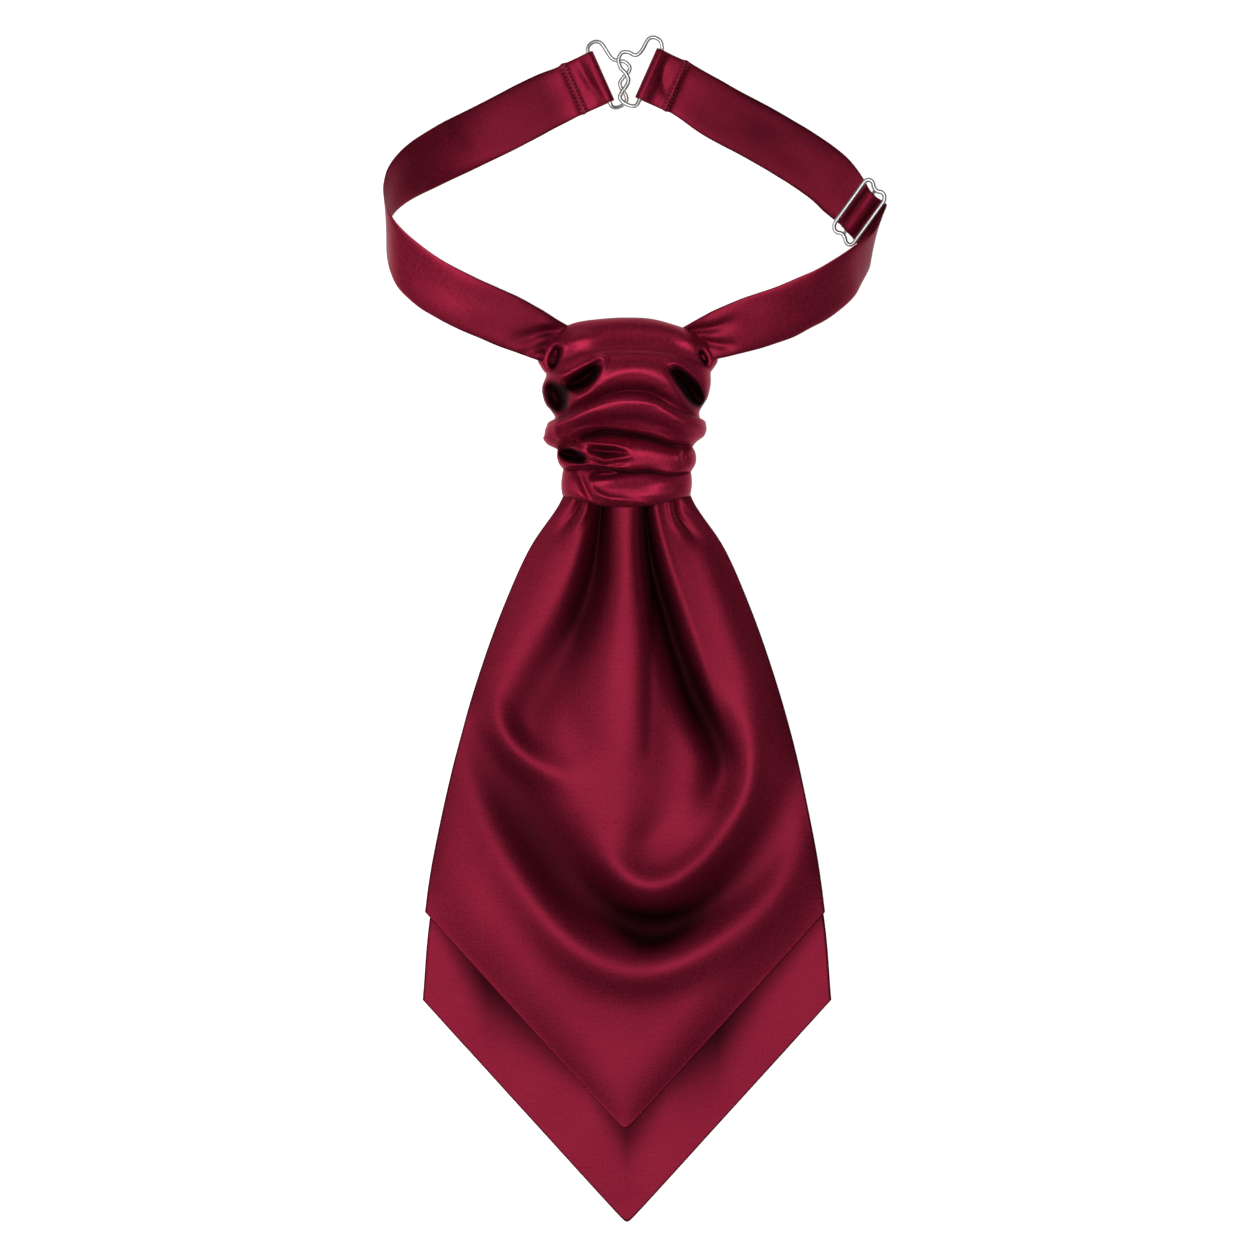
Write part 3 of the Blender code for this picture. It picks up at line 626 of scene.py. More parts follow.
# %% Folds of the front apron
FRONT_FOLDS = {
    "pleat_left_half": [
        # x, y, height, reach
        (-1.8, 46.0, 0.6, 3.6),
        (-2.4, 24.0, 0.7, 4.2),
        (-3.4, 4.0, 0.9, 5.0),
        (-4.6, -18.0, 0.9, 6.4),
        (-3.0, -44.0, 0.6, 8.0),
    ],
    "pleat_right_half": [
        (2.4, 46.0, 0.6, 3.6),
        (2.6, 24.0, 0.7, 3.8),
        (2.8, 4.0, 0.9, 4.4),
        (3.2, -18.0, 0.9, 5.0),
        (4.0, -44.0, 0.6, 6.5),
    ],
    "left_crest": [
        (-48.5, -20.0, 0.6, 4.6),
        (-46.6, -29.0, 1.8, 4.8),
        (-42.0, -39.0, 2.4, 5.0),
        (-33.0, -47.6, 2.2, 5.2),
        (-21.0, -53.0, 1.2, 6.0),
    ],
    "right_crest": [
        (40.0, -24.0, 0.8, 6.0),
        (43.6, -40.0, 1.8, 5.6),
        (41.4, -59.0, 2.6, 5.6),
        (31.0, -77.0, 3.0, 5.6),
        (19.0, -87.6, 3.0, 5.6),
        (9.0, -91.0, 3.0, 5.6),
        (-1.0, -88.0, 2.6, 5.8),
        (-10.0, -79.0, 1.4, 6.4),
    ],
    "lower_swag": [
        (-60.5, -36.0, 0.8, 6.0),
        (-52.5, -56.0, 1.8, 7.0),
        (-44.5, -74.0, 2.2, 8.0),
        (-33.0, -95.0, 2.6, 7.6),
        (-20.5, -111.0, 2.8, 7.4),
        (-6.0, -119.8, 2.8, 7.2),
        (6.0, -121.8, 2.8, 7.2),
        (20.0, -117.2, 2.8, 7.4),
        (39.8, -104.0, 2.4, 9.0),
        (55.5, -88.0, 1.6, 8.6),
        (64.0, -73.0, 0.6, 7.0),
    ],
    "left_trough": [
        (-8.8, 46.0, -6.6, 2.6),
        (-9.8, 34.0, -8.4, 3.6),
        (-11.6, 20.0, -8.8, 4.8),
        (-15.4, 6.0, -8.0, 6.2),
        (-21.6, -8.0, -6.0, 8.0),
        (-29.4, -20.0, -5.4, 8.6),
        (-35.4, -31.0, -4.8, 7.4),
        (-31.0, -39.0, -2.4, 6.6),
    ],
    "left_swell": [
        (-26.0, 30.0, 0.6, 6.0),
        (-37.0, 8.0, 1.0, 8.0),
        (-46.0, -12.0, 0.8, 8.0),
        (-53.0, -34.0, 0.5, 6.5),
    ],
    "right_swell": [
        (26.5, 30.0, 1.0, 4.5),
        (35.0, 8.0, 1.7, 6.0),
        (43.0, -14.0, 2.0, 7.0),
        (50.0, -36.0, 1.8, 7.5),
        (56.0, -56.0, 0.8, 8.0),
    ],
    "left_basin": [
        (-19.0, -18.0, -1.6, 8.0),
        (-22.0, -32.0, -2.0, 8.0),
        (-16.0, -44.0, -1.0, 8.0),
    ],
    "right_trough": [
        (6.4, 46.0, -6.6, 2.1),
        (7.4, 33.0, -8.0, 3.0),
        (9.6, 19.5, -8.8, 3.9),
        (13.0, 6.4, -8.6, 4.8),
        (17.4, -8.0, -8.2, 5.4),
        (24.2, -25.0, -7.8, 5.8),
        (31.4, -39.0, -7.2, 5.6),
        (34.0, -50.0, -5.0, 5.8),
        (30.0, -61.0, -2.6, 6.8),
    ],
    "right_basin": [
        (14.0, -14.0, -1.0, 7.0),
        (17.0, -34.0, -1.4, 10.0),
        (17.0, -54.0, -1.8, 12.0),
        (11.0, -71.0, -2.0, 8.0),
        (4.0, -77.0, -1.6, 6.0),
    ],
    "swag_trough": [
        (-57.0, -36.0, -2.4, 5.6),
        (-49.0, -50.0, -5.2, 8.6),
        (-37.0, -66.0, -6.8, 10.6),
        (-24.0, -83.0, -7.2, 11.0),
        (-9.0, -98.0, -6.8, 9.0),
        (8.0, -106.0, -6.2, 7.8),
        (25.0, -100.5, -6.2, 7.8),
        (42.0, -87.0, -5.8, 8.2),
        (54.0, -70.0, -4.2, 7.6),
        (59.0, -54.0, -1.8, 6.4),
    ],
    "right_wall_edge": [
        (9.4, 44.0, 0.8, 1.3),
        (11.8, 33.0, 0.7, 1.5),
        (15.8, 19.5, 0.6, 1.8),
        (20.0, 6.4, 0.6, 2.2),
        (25.0, -8.1, 0.6, 2.4),
        (27.8, -17.0, 0.8, 2.2),
        (32.0, -30.8, 0.7, 2.4),
        (37.8, -41.5, 0.3, 3.0),
    ],
    "pleat_side": [
        (5.4, 40.0, -0.8, 1.3),
        (7.3, 24.0, -1.0, 1.6),
        (7.7, 5.0, -0.9, 1.8),
        (7.7, -18.0, -0.5, 2.2),
        (7.2, -44.0, -0.2, 2.6),
    ],
    "left_tuck": [
        (-14.2, 45.0, 1.6, 1.1),
        (-15.0, 41.0, 1.4, 1.1),
        (-17.0, 37.4, 0.8, 1.3),
        (-20.0, 33.5, 0.2, 1.8),
    ],
    "left_tuck_hollow": [
        (-16.4, 46.0, -2.8, 1.3),
        (-17.6, 42.4, -2.6, 1.5),
        (-20.4, 38.6, -1.6, 1.9),
        (-24.5, 33.0, -0.5, 2.4),
    ],
    "left_side_tuck": [
        (-18.0, 46.5, 0.8, 1.0),
        (-20.6, 44.0, 1.0, 1.1),
        (-24.0, 40.4, 0.4, 1.4),
    ],
    "right_tuck": [
        (14.8, 45.5, 1.4, 1.1),
        (15.5, 40.2, 1.3, 1.1),
        (17.4, 36.6, 0.8, 1.4),
        (21.0, 31.5, 0.2, 2.0),
    ],
    "right_tuck_hollow": [
        (17.0, 46.5, -2.4, 1.2),
        (17.6, 41.6, -2.6, 1.3),
        (19.8, 37.4, -2.0, 1.6),
        (25.4, 30.6, -0.6, 2.4),
    ],
    "right_side_tuck": [
        (19.4, 46.0, 0.8, 1.0),
        (21.8, 43.0, 1.0, 1.0),
        (25.4, 40.6, 0.5, 1.3),
    ],
}

# %% The valleys that the folds keep from light
VALLEY_SHADE = {
    # x, y, how dark, reach
    "beside_the_pleat": [
        (6.4, 36.0, 0.30, 1.4),
        (8.2, 20.0, 0.46, 1.5),
        (8.5, 4.0, 0.50, 1.6),
        (8.5, -16.0, 0.34, 1.9),
        (7.8, -42.0, 0.14, 2.4),
    ],
    "left_valley": [
        (-7.6, 46.0, 0.90, 2.4),
        (-9.2, 34.0, 0.90, 3.6),
        (-11.6, 20.0, 0.86, 5.2),
        (-15.6, 6.0, 0.72, 7.0),
        (-21.6, -8.0, 0.48, 8.6),
        (-28.8, -20.0, 0.30, 8.4),
        (-34.4, -31.0, 0.20, 6.6),
    ],
    "right_valley": [
        (6.2, 46.0, 0.90, 2.0),
        (7.8, 33.0, 0.94, 2.8),
        (10.2, 19.5, 0.94, 3.8),
        (14.0, 6.4, 0.90, 4.6),
        (18.8, -8.0, 0.84, 5.0),
        (25.4, -25.0, 0.78, 5.4),
        (32.0, -38.6, 0.70, 5.0),
        (35.4, -48.0, 0.40, 4.6),
    ],
    "swag_valley": [
        (-57.0, -36.0, 0.20, 5.0),
        (-48.6, -50.0, 0.58, 7.4),
        (-37.0, -67.0, 0.84, 9.8),
        (-23.0, -86.0, 0.84, 10.0),
        (-8.0, -99.0, 0.66, 8.4),
        (9.0, -105.4, 0.50, 7.2),
        (25.0, -100.0, 0.44, 7.0),
        (42.0, -87.0, 0.34, 7.6),
        (54.0, -70.0, 0.16, 7.0),
    ],
}
VALLEY_POINTS = fold_points(VALLEY_SHADE)
MOST_VALLEY_SHADE = 0.94

# %% A pointed panel
ROUND_AT_WRAP = 0.7
ROUND_AT_HEM = 0.012


def rise_at(u, down):
    """How far a row of an apron rises at u: rounded up by the wrap, a sharp V at the hem."""
    soft = ROUND_AT_WRAP * (1 - down) + ROUND_AT_HEM
    return (np.hypot(u, soft) - soft) / (np.hypot(1, soft) - soft)


def panel_y(rows, tip_y, u, down, y_side):
    """The y of each place on a pointed panel, and of the hem below it."""
    top_y, foot_y = rows[0][0], rows[-1][0]
    hem_y = tip_y + (foot_y - tip_y) * rise_at(u, down)
    return top_y + (hem_y - top_y) * (top_y - y_side) / (top_y - foot_y), hem_y


def laid_threads(place):
    """The threads of a panel cut on the straight: its places as seen from above."""
    def threads(u, v):
        """The threads' two directions at each place."""
        x, y, z = place(u, v)
        return np.stack([x, y], axis=-1)

    return threads


# %% The front apron's panel
FRONT_PATH = smooth_rows(FRONT_ROWS)
FRONT_POINTS = fold_points(FRONT_FOLDS)
CROWN_FALLS_FROM = -96
CROWN_FALLS_OVER = 60
CROWN_AT_HEM = HEM_Z + 1.0
CROWN_SHAPE = 1.5
HEM_PRESS = 26
EDGE_PRESS = 16
SWELL = 0.22
SWELL_SIZE = (22, 34)
SWELL_SEED = 8.2
FLOOR_SOFTNESS = 5.0


def front_place(u, v):
    """Points of the front apron's middle: v runs from its hem to the wrap."""
    down = (1 - v) / 2
    y_side, half_width, shift, edge_z, crown_z = rows_at(FRONT_PATH, down).T
    y, hem_y = panel_y(FRONT_ROWS, FRONT_TIP_Y, u, down, y_side)
    x = half_width * u + shift
    crown_z = crown_z + (CROWN_AT_HEM - crown_z) * soft_step((CROWN_FALLS_FROM - y) / CROWN_FALLS_OVER)
    to_hem = np.clip((y - hem_y) / HEM_PRESS, 0, 1)
    to_edge = np.clip((1 - np.abs(u)) * half_width / EDGE_PRESS, 0, 1)
    flatten = to_hem * (2 - to_hem) * to_edge * (2 - to_edge)
    z = edge_z + (crown_z - edge_z) * (1 - np.abs(u) ** CROWN_SHAPE)
    z += fold_height(FRONT_POINTS, x, y) * flatten
    z += SWELL * ripple(x, y, *SWELL_SIZE, SWELL_SEED) * flatten
    height = z - HEM_Z
    return x, y, HEM_Z + (height + np.sqrt(height**2 + (FLOOR_SOFTNESS * flatten) ** 2)) / 2


def in_valleys(u, v):
    """How much light the folds keep from each place in the valleys between them."""
    x, y, z = front_place(u, v)
    return np.clip(fold_height(VALLEY_POINTS, x, y), 0, MOST_VALLEY_SHADE)


front = cloth_grid(
    "front_apron_cloth",
    (170, 210),
    front_place,
    laid_threads(front_place),
    shade_reach=7,
    wall=APRON_WALL,
    shade=in_valleys,
)

# %% [markdown]
# ## The back apron
# The longer panel lies flat under the front one, so only its pressed border and point show. A faint
# unevenness keeps it from looking like card, and its underside rests on the table.

# %% The back apron's panel
BACK_ROWS = [
    # y, half_width
    (52.0, 17.0),
    (28.2, 30.0),
    (-14.3, 48.5),
    (-56.8, 61.0),
    (-99.6, 69.4),
    (-131.0, 72.3),
]
BACK_TIP_Y = -209.6
BACK_PATH = smooth_rows(BACK_ROWS)
LIFT = 0.2
LIFT_MOST = 0.45
LIFT_SIZE = (26, 20)
LIFT_SEED = 5.1
LIFTS_FROM = -118
LIFTS_OVER = 30


def back_place(u, v):
    """Points of the back apron's middle."""
    down = (1 - v) / 2
    y_side, half_width = rows_at(BACK_PATH, down).T
    y, hem_y = panel_y(BACK_ROWS, BACK_TIP_Y, u, down, y_side)
    x = half_width * u
    lift = LIFT * (1 + ripple(x, y, *LIFT_SIZE, LIFT_SEED)) * soft_step((LIFTS_FROM - y) / LIFTS_OVER)
    return x, y, APRON_WALL / 2 + np.clip(lift, 0, LIFT_MOST)


# %% [markdown]
# The front apron's hem stands a little off the panel below, so a soft shade lies along it, wide where the
# folds lift the hem and narrow where it is pressed down.

# %% Shade beside the front hem
HEM_SHADE = [
    # x, how wide the shade is, how deep
    (-80.0, 1.5, 0.30),
    (-66.0, 3.0, 0.50),
    (-50.0, 11.0, 0.95),
    (-30.0, 6.0, 0.75),
    (-14.0, 3.0, 0.45),
    (0.0, 8.0, 0.75),
    (14.0, 4.0, 0.60),
    (32.0, 11.0, 0.95),
    (48.0, 5.5, 0.65),
    (64.0, 3.0, 0.45),
    (80.0, 1.5, 0.30),
]


def below_hem(u, v):
    """The soft shade on the back apron beside the front one's hem."""
    x, y, z = back_place(u, v)
    foot_y = FRONT_ROWS[-1][0]
    half_width = FRONT_ROWS[-1][1]
    rise = (foot_y - FRONT_TIP_Y) / half_width
    gap = (FRONT_TIP_Y + rise * np.abs(x) - y) / math.hypot(1, rise)
    spots, wide, deep = np.array(HEM_SHADE).T
    reach = np.interp(x, spots, wide)
    return np.interp(x, spots, deep) * np.exp(-((np.maximum(0, gap) / reach) ** 2))


back = cloth_grid(
    "back_apron_cloth",
    (150, 200),
    back_place,
    laid_threads(back_place),
    shade_reach=4,
    wall=APRON_WALL,
    shade=below_hem,
)

# %% [markdown]
# ## The neckband
# Each half is a strip of satin folded lengthways into a flat band. It is turned under round the hook's
# bar at its end, stands up on its inner edge where it changes direction, and goes into the wrap in small
# gathers. A ring for each row of the table, flat with rounded edges, gives the band both of its pressed
# sides.

# %% Rows of the two bands
LEFT_BAND = [
    # x, y, z, width, turn, rise
    (-30.0, 186.2, 0.7, 20.0, 116, 0),
    (-44.9, 178.4, 1.0, 20.0, 118, 1),
    (-54.0, 173.8, 2.0, 20.0, 119, 7),
    (-61.5, 169.9, 3.8, 20.0, 119, 17),
    (-70.9, 164.6, 5.8, 20.0, 116, 29),
    (-77.6, 160.1, 7.4, 20.0, 111, 39),
    (-81.9, 155.8, 8.7, 20.0, 107, 49),
    (-84.0, 152.0, 9.6, 20.0, 102, 56),
    (-85.0, 148.1, 10.6, 20.0, 95, 57),
    (-84.8, 143.6, 11.8, 20.0, 88, 53),
    (-83.9, 139.0, 13.2, 20.0, 83, 45),
    (-81.8, 133.9, 14.8, 20.0, 79, 35),
    (-77.7, 128.4, 15.9, 20.0, 73, 28),
    (-70.0, 122.0, 16.4, 19.9, 66, 24),
    (-62.6, 117.7, 16.2, 19.7, 64, 19),
    (-55.4, 114.1, 15.8, 19.4, 64, 15),
    (-48.4, 111.1, 15.2, 19.2, 65, 12),
    (-41.3, 108.0, 14.4, 18.8, 66, 9),
    (-34.1, 104.8, 13.6, 17.6, 66, 6),
    (-27.8, 101.8, 12.8, 16.0, 67, 3),
    (-19.0, 98.0, 9.0, 14.0, 68, 0),
]
RIGHT_BAND_BACK = [
    (32.9, 183.0, 0.7, 20.0, 62, 0),
    (47.1, 175.4, 0.7, 20.0, 60, 0),
    (61.2, 167.0, 1.0, 20.0, 58, 1),
    (70.4, 160.4, 1.9, 19.8, 56, 6),
    (75.3, 155.4, 2.7, 19.2, 54, 11),
]
RIGHT_BAND_FRONT = [
    (86.8, 142.8, 3.8, 17.8, 55, 18),
    (87.2, 140.0, 5.9, 18.4, 64, 33),
    (87.4, 137.4, 8.0, 19.0, 74, 46),
    (86.7, 134.6, 9.6, 19.5, 84, 54),
    (84.6, 131.8, 11.0, 19.8, 94, 55),
    (81.8, 128.8, 12.2, 20.0, 101, 50),
    (78.4, 125.0, 13.2, 20.0, 106, 42),
    (73.8, 121.3, 13.9, 20.0, 108, 36),
    (68.2, 117.6, 14.3, 20.0, 107, 31),
    (62.2, 114.7, 14.5, 20.0, 106, 26),
    (55.7, 111.6, 14.6, 20.0, 107, 22),
    (48.5, 109.1, 14.5, 19.7, 108, 19),
    (41.1, 106.7, 14.2, 19.0, 108, 17),
    (33.9, 104.3, 13.6, 17.6, 109, 13),
    (28.1, 102.2, 12.8, 15.6, 110, 8),
    (20.0, 99.0, 9.0, 13.6, 110, 0),
]

# %% The turned ends and the way through the slide
END_LOOP = [
    # out, up
    (12.0, 0.7),
    (8.0, 0.7),
    (4.6, 0.7),
    (2.6, 0.7),
    (1.3, 1.24),
    (0.75, 2.55),
    (1.3, 3.86),
    (2.6, 4.4),
    (4.6, 3.9),
    (7.0, 2.8),
    (10.0, 2.45),
    (12.6, 2.3),
    (15.5, 1.0),
]
THREADING = [
    # along, up, width
    (-4.8, 0.0, 17.8),
    (-3.3, 0.3, 17.0),
    (-2.0, 1.5, 16.6),
    (0.0, 2.1, 16.4),
    (2.0, 1.5, 16.6),
    (3.3, 0.3, 17.0),
    (4.8, 0.0, 17.8),
]
LEFT_END = (-7.6, 196.2)
LEFT_END_TURN = 114
RIGHT_END = (6.0, 197.2)
RIGHT_END_TURN = 66
SLIDE_CENTRE = (82.3, 147.7, 3.0)
SLIDE_TURN = 54
SLIDE_RISE = 14
SLIDE_SKEW = -0.2


def slide_spot(along, across, up):
    """A point on the slide's own axes, as a point of the cravat."""
    turn, rise = math.radians(SLIDE_TURN), math.radians(SLIDE_RISE)
    along_axis = Vector((math.sin(turn), -math.cos(turn), 0))
    across_axis = Vector((math.cos(turn) * math.cos(rise), math.sin(turn) * math.cos(rise), math.sin(rise)))
    up_axis = along_axis.cross(across_axis)
    across = across + SLIDE_SKEW * along
    return tuple(Vector(SLIDE_CENTRE) + along_axis * along + across_axis * across + up_axis * up)


def end_rows(end, turn, side):
    """The rows of a band's turned end, from the hem's cut edge round the hook's bar to the upper side."""
    heading = math.radians(turn)
    back_x, back_y = -side * abs(math.sin(heading)), -abs(math.cos(heading))
    return [(end[0] + back_x * out, end[1] + back_y * out, up, END_WIDTH, turn, 0) for out, up in END_LOOP]


thread_rows = [(*slide_spot(along, 0, up), width, SLIDE_TURN, SLIDE_RISE) for along, up, width in THREADING]
left_rows = end_rows(LEFT_END, LEFT_END_TURN, 1) + LEFT_BAND
right_rows = end_rows(RIGHT_END, RIGHT_END_TURN, -1) + RIGHT_BAND_BACK + thread_rows + RIGHT_BAND_FRONT

# %% Creases of the turned ends and tucks at the wrap
BAND_FOLDS = {
    "left_end_crease": [
        # x, y, height, reach
        (-16.6, 200.0, -0.2, 1.4),
        (-15.0, 196.6, -0.6, 1.5),
        (-12.4, 192.4, -0.7, 1.5),
        (-8.6, 188.0, -0.3, 1.5),
    ],
    "left_end_ridge": [
        (-13.1, 199.4, 0.3, 0.9),
        (-9.9, 192.2, 0.5, 1.0),
        (-6.6, 186.6, 0.3, 1.0),
    ],
    "right_end_crease": [
        (15.4, 203.6, -0.3, 1.4),
        (12.6, 198.6, -0.7, 1.6),
        (12.8, 192.6, -0.6, 1.7),
        (15.6, 187.4, -0.2, 1.6),
    ],
    "right_end_ridge": [
        (11.7, 204.0, 0.3, 0.9),
        (8.8, 198.0, 0.6, 1.0),
        (6.2, 192.0, 0.3, 1.0),
    ],
    "left_tuck": [
        (-23.6, 105.6, -1.4, 1.3),
        (-28.6, 104.8, -1.3, 1.6),
        (-34.0, 103.0, -0.8, 2.0),
        (-40.0, 101.6, -0.4, 2.4),
    ],
    "left_low_tuck": [
        (-26.4, 100.6, -1.2, 1.2),
        (-31.0, 98.8, -0.8, 1.6),
        (-37.0, 96.6, -0.5, 1.9),
    ],
    "right_tuck": [
        (21.6, 105.0, -1.8, 1.2),
        (27.6, 105.6, -1.6, 1.4),
        (33.2, 106.8, -0.9, 1.8),
        (38.0, 108.6, -0.3, 2.2),
    ],
    "right_low_tuck": [
        (25.6, 101.6, -1.6, 1.1),
        (31.0, 100.4, -1.2, 1.4),
        (37.2, 100.2, -0.5, 1.9),
    ],
}
BAND_POINTS = fold_points(BAND_FOLDS)

# %% [markdown]
# A satin ribbon is brightest where it faces the light square on, and dims as it leans away. The slow
# change from bright to dim that the real band shows is noted along its length, and the leaning adds the
# rest.

# %% How dim each band is along its length
LEFT_LUSTRE = [
    # how far along, how dim
    (0.0, 0.10),
    (26.0, 0.25),
    (36.0, 0.64),
    (54.0, 0.56),
    (72.0, 0.44),
    (100.0, 0.40),
    (124.0, 0.10),
    (140.0, 0.0),
    (148.0, 0.05),
    (160.0, 0.40),
    (176.0, 0.56),
    (230.0, 0.60),
]
RIGHT_LUSTRE = [
    (0.0, 0.20),
    (26.0, 0.35),
    (38.0, 0.62),
    (60.0, 0.74),
    (90.0, 0.66),
    (120.0, 0.40),
    (150.0, 0.22),
    (180.0, 0.32),
    (230.0, 0.35),
]

# %% A band from its rows
BAND_STEPS = 9
BAND_CELLS_ROUND = 64
GATHER_REACH = 24.0
GATHER_HEIGHT = 0.45
GATHER_SIZE = (3.8, 22)
RIDGE_OUT = 12.4
RIDGE_WIDTH = 1.1
RIDGE_HEIGHT = 0.4
RIDGE_PULL = 0.35
RIDGE_PAD = 0.15
WALL_ROUNDNESS = 6
UPPER_SIDE_FROM = 14
UPPER_SIDE_OVER = 4
RIPPLE_ACROSS = 10
MIDDLE_FLATNESS = 4
SOFTNESS = 0.14
SOFT_SIZE = (9, 15)
SOFT_FROM = 22
SOFT_OVER = 10
SOFT_SEED = 20
EDGE_PULL = 0.08
EDGE_SIZE = (9, 50)
EDGE_FROM = 20
EDGE_OVER = 8
EDGE_SEED = 40
THREADS_ACROSS = 20
TABLE_GAP = 0.02


def band_path(rows):
    """The band's rows close together, with the length run so far in a last column."""
    path = smooth_rows(rows, BAND_STEPS)
    steps = np.linalg.norm(np.diff(path[:, :3], axis=0), axis=1)
    return np.column_stack([path, np.concatenate([[0], np.cumsum(steps)])])


def band_spot(row, reach, lift):
    """Points of the band: reach across its width and lift from its middle, square to its face."""
    x, y, z = row[:, 0], row[:, 1], row[:, 2]
    turn, rise = np.radians(row[:, 4]), np.radians(row[:, 5])
    return (
        x + reach * np.cos(turn) * np.cos(rise) - lift * np.cos(turn) * np.sin(rise),
        y + reach * np.sin(turn) * np.cos(rise) - lift * np.sin(turn) * np.sin(rise),
        z + reach * np.sin(rise) + lift * np.cos(rise),
    )


def band_cloth(name, rows, end, lustre, seed):
    """A band with pressed edges, a stitched ridge at its end and gathers at the wrap."""
    path = band_path(rows)
    length = path[-1, -1]
    print(name, "length, mm:", round(length))

    def place(u, v):
        """Points of the band's skin: u runs round it and v along it."""
        row = rows_at(path, (v + 1) / 2)
        width, run = row[:, 3], row[:, 6]
        turned = 1 - 2 * np.abs(u)
        across = -np.cos(math.pi * (turned + 1) / 2)
        face = np.sign(u)
        half_wall = BAND_WALL / 2 * np.sqrt(np.clip(1 - np.abs(across) ** WALL_ROUNDNESS, 0, 1))
        x, y, z = band_spot(row, 0 * width, 0 * width)
        out = np.hypot(x - end[0], y - end[1])
        upper_side = soft_step((run - UPPER_SIDE_FROM) / UPPER_SIDE_OVER)
        on_ridge = np.exp(-(((out - RIDGE_OUT) / RIDGE_WIDTH) ** 2)) * upper_side
        to_wrap = soft_step((GATHER_REACH - (length - run)) / GATHER_REACH)
        spread = across * RIPPLE_ACROSS
        gathers = ripple(spread, run, *GATHER_SIZE, seed) * GATHER_HEIGHT * to_wrap
        soft = ripple(spread, run, *SOFT_SIZE, seed + SOFT_SEED) * SOFTNESS
        soft = soft * soft_step((run - SOFT_FROM) / SOFT_OVER)
        lift = face * half_wall * (1 + RIDGE_PAD * on_ridge)
        lift += (gathers + soft) * (1 - np.abs(across) ** MIDDLE_FLATNESS)
        lift += on_ridge * RIDGE_HEIGHT * (face > 0)
        lift += fold_height(BAND_POINTS, *band_spot(row, across * width / 2, 0 * width)[:2]) * upper_side
        wobble = EDGE_PULL * ripple(run, across, *EDGE_SIZE, seed + EDGE_SEED)
        wobble = wobble * soft_step((run - EDGE_FROM) / EDGE_OVER)
        pull = RIDGE_PULL * on_ridge + wobble
        x, y, z = band_spot(row, across * (width / 2 + pull * np.abs(across)), lift)
        return x, y, np.maximum(z, TABLE_GAP)

    def threads(u, v):
        """The band's threads: round it and along it."""
        row = rows_at(path, (v + 1) / 2)
        return np.stack([u * THREADS_ACROSS, row[:, 6]], axis=-1)

    def dimmed(u, v):
        """How dim the satin is where the band leans out of the light."""
        spots, dim = np.array(lustre).T
        run = rows_at(path, (v + 1) / 2)[:, 6]
        return np.interp(run, spots, dim)

    cells = (BAND_CELLS_ROUND, len(path) - 1)
    return cloth_grid(name, cells, place, threads, shade_reach=3, tube=True, shade=dimmed)


# %% The two bands' pieces
left_band = band_cloth("left_band_cloth", left_rows, LEFT_END, LEFT_LUSTRE, 1.3)
right_band = band_cloth("right_band_cloth", right_rows, RIGHT_END, RIGHT_LUSTRE, 2.9)

# %% [markdown]
# ## Hook wires and slide
# The hook, its ring and the slide are bent from round nickel wire. A curve with a round bevel is the
# plain way to make wire, and its points are the same rows that the solids follow, on a closer curve. The
# curve is then made a mesh, so that its place is in its points like every other piece's.

# %% Wire rows
LEFT_WIRE = [
    # x, y, z
    (-10.0, 195.1, 2.55),
    (-12.4, 200.4, 2.55),
    (-13.9, 204.4, 2.5),
    (-13.3, 206.7, 2.3),
    (-11.1, 207.9, 2.0),
    (-9.0, 207.2, 1.7),
    (-6.8, 204.0, 1.3),
    (-5.3, 202.0, 1.05),
    (-3.3, 201.2, 0.85),
    (-0.9, 200.9, 0.85),
    (0.9, 199.2, 0.85),
    (0.6, 197.3, 0.85),
    (-1.4, 195.2, 0.85),
    (-2.5, 193.3, 0.85),
    (-1.9, 191.2, 0.85),
    (-0.4, 189.0, 0.85),
    (-0.2, 187.0, 0.85),
    (-1.5, 185.6, 0.95),
    (-3.6, 184.6, 1.5),
    (-5.4, 185.0, 2.2),
    (-6.5, 187.3, 2.55),
]
RIGHT_WIRE = [
    (8.4, 196.1, 2.55),
    (10.4, 200.6, 2.55),
    (12.3, 204.8, 2.55),
    (12.1, 207.4, 2.6),
    (11.0, 208.7, 2.7),
    (9.2, 209.3, 2.8),
    (7.4, 208.5, 2.85),
    (5.2, 204.7, 2.85),
    (3.1, 203.0, 2.85),
    (0.6, 204.0, 2.85),
    (-1.7, 203.9, 2.85),
    (-3.0, 201.6, 2.85),
    (-2.3, 198.6, 2.85),
    (-0.4, 196.5, 2.85),
    (0.5, 194.3, 2.85),
    (-0.3, 192.0, 2.85),
    (-1.9, 189.8, 2.85),
    (-2.5, 187.8, 2.85),
    (-1.0, 186.1, 2.85),
    (1.4, 185.1, 2.8),
    (3.4, 185.4, 2.65),
    (5.0, 188.6, 2.55),
]
ROD_UP = 2.05
BAR_UP = 0.15
SLIDE_QUARTER = [
    # along, across
    (4.8, 0.0),
    (4.8, 7.4),
    (4.7, 9.4),
    (3.7, 10.8),
    (2.2, 10.9),
    (1.2, 10.2),
    (0.0, 9.9),
]

# %% Wire from its points
SAME_WIRE_POINT = 0.000001


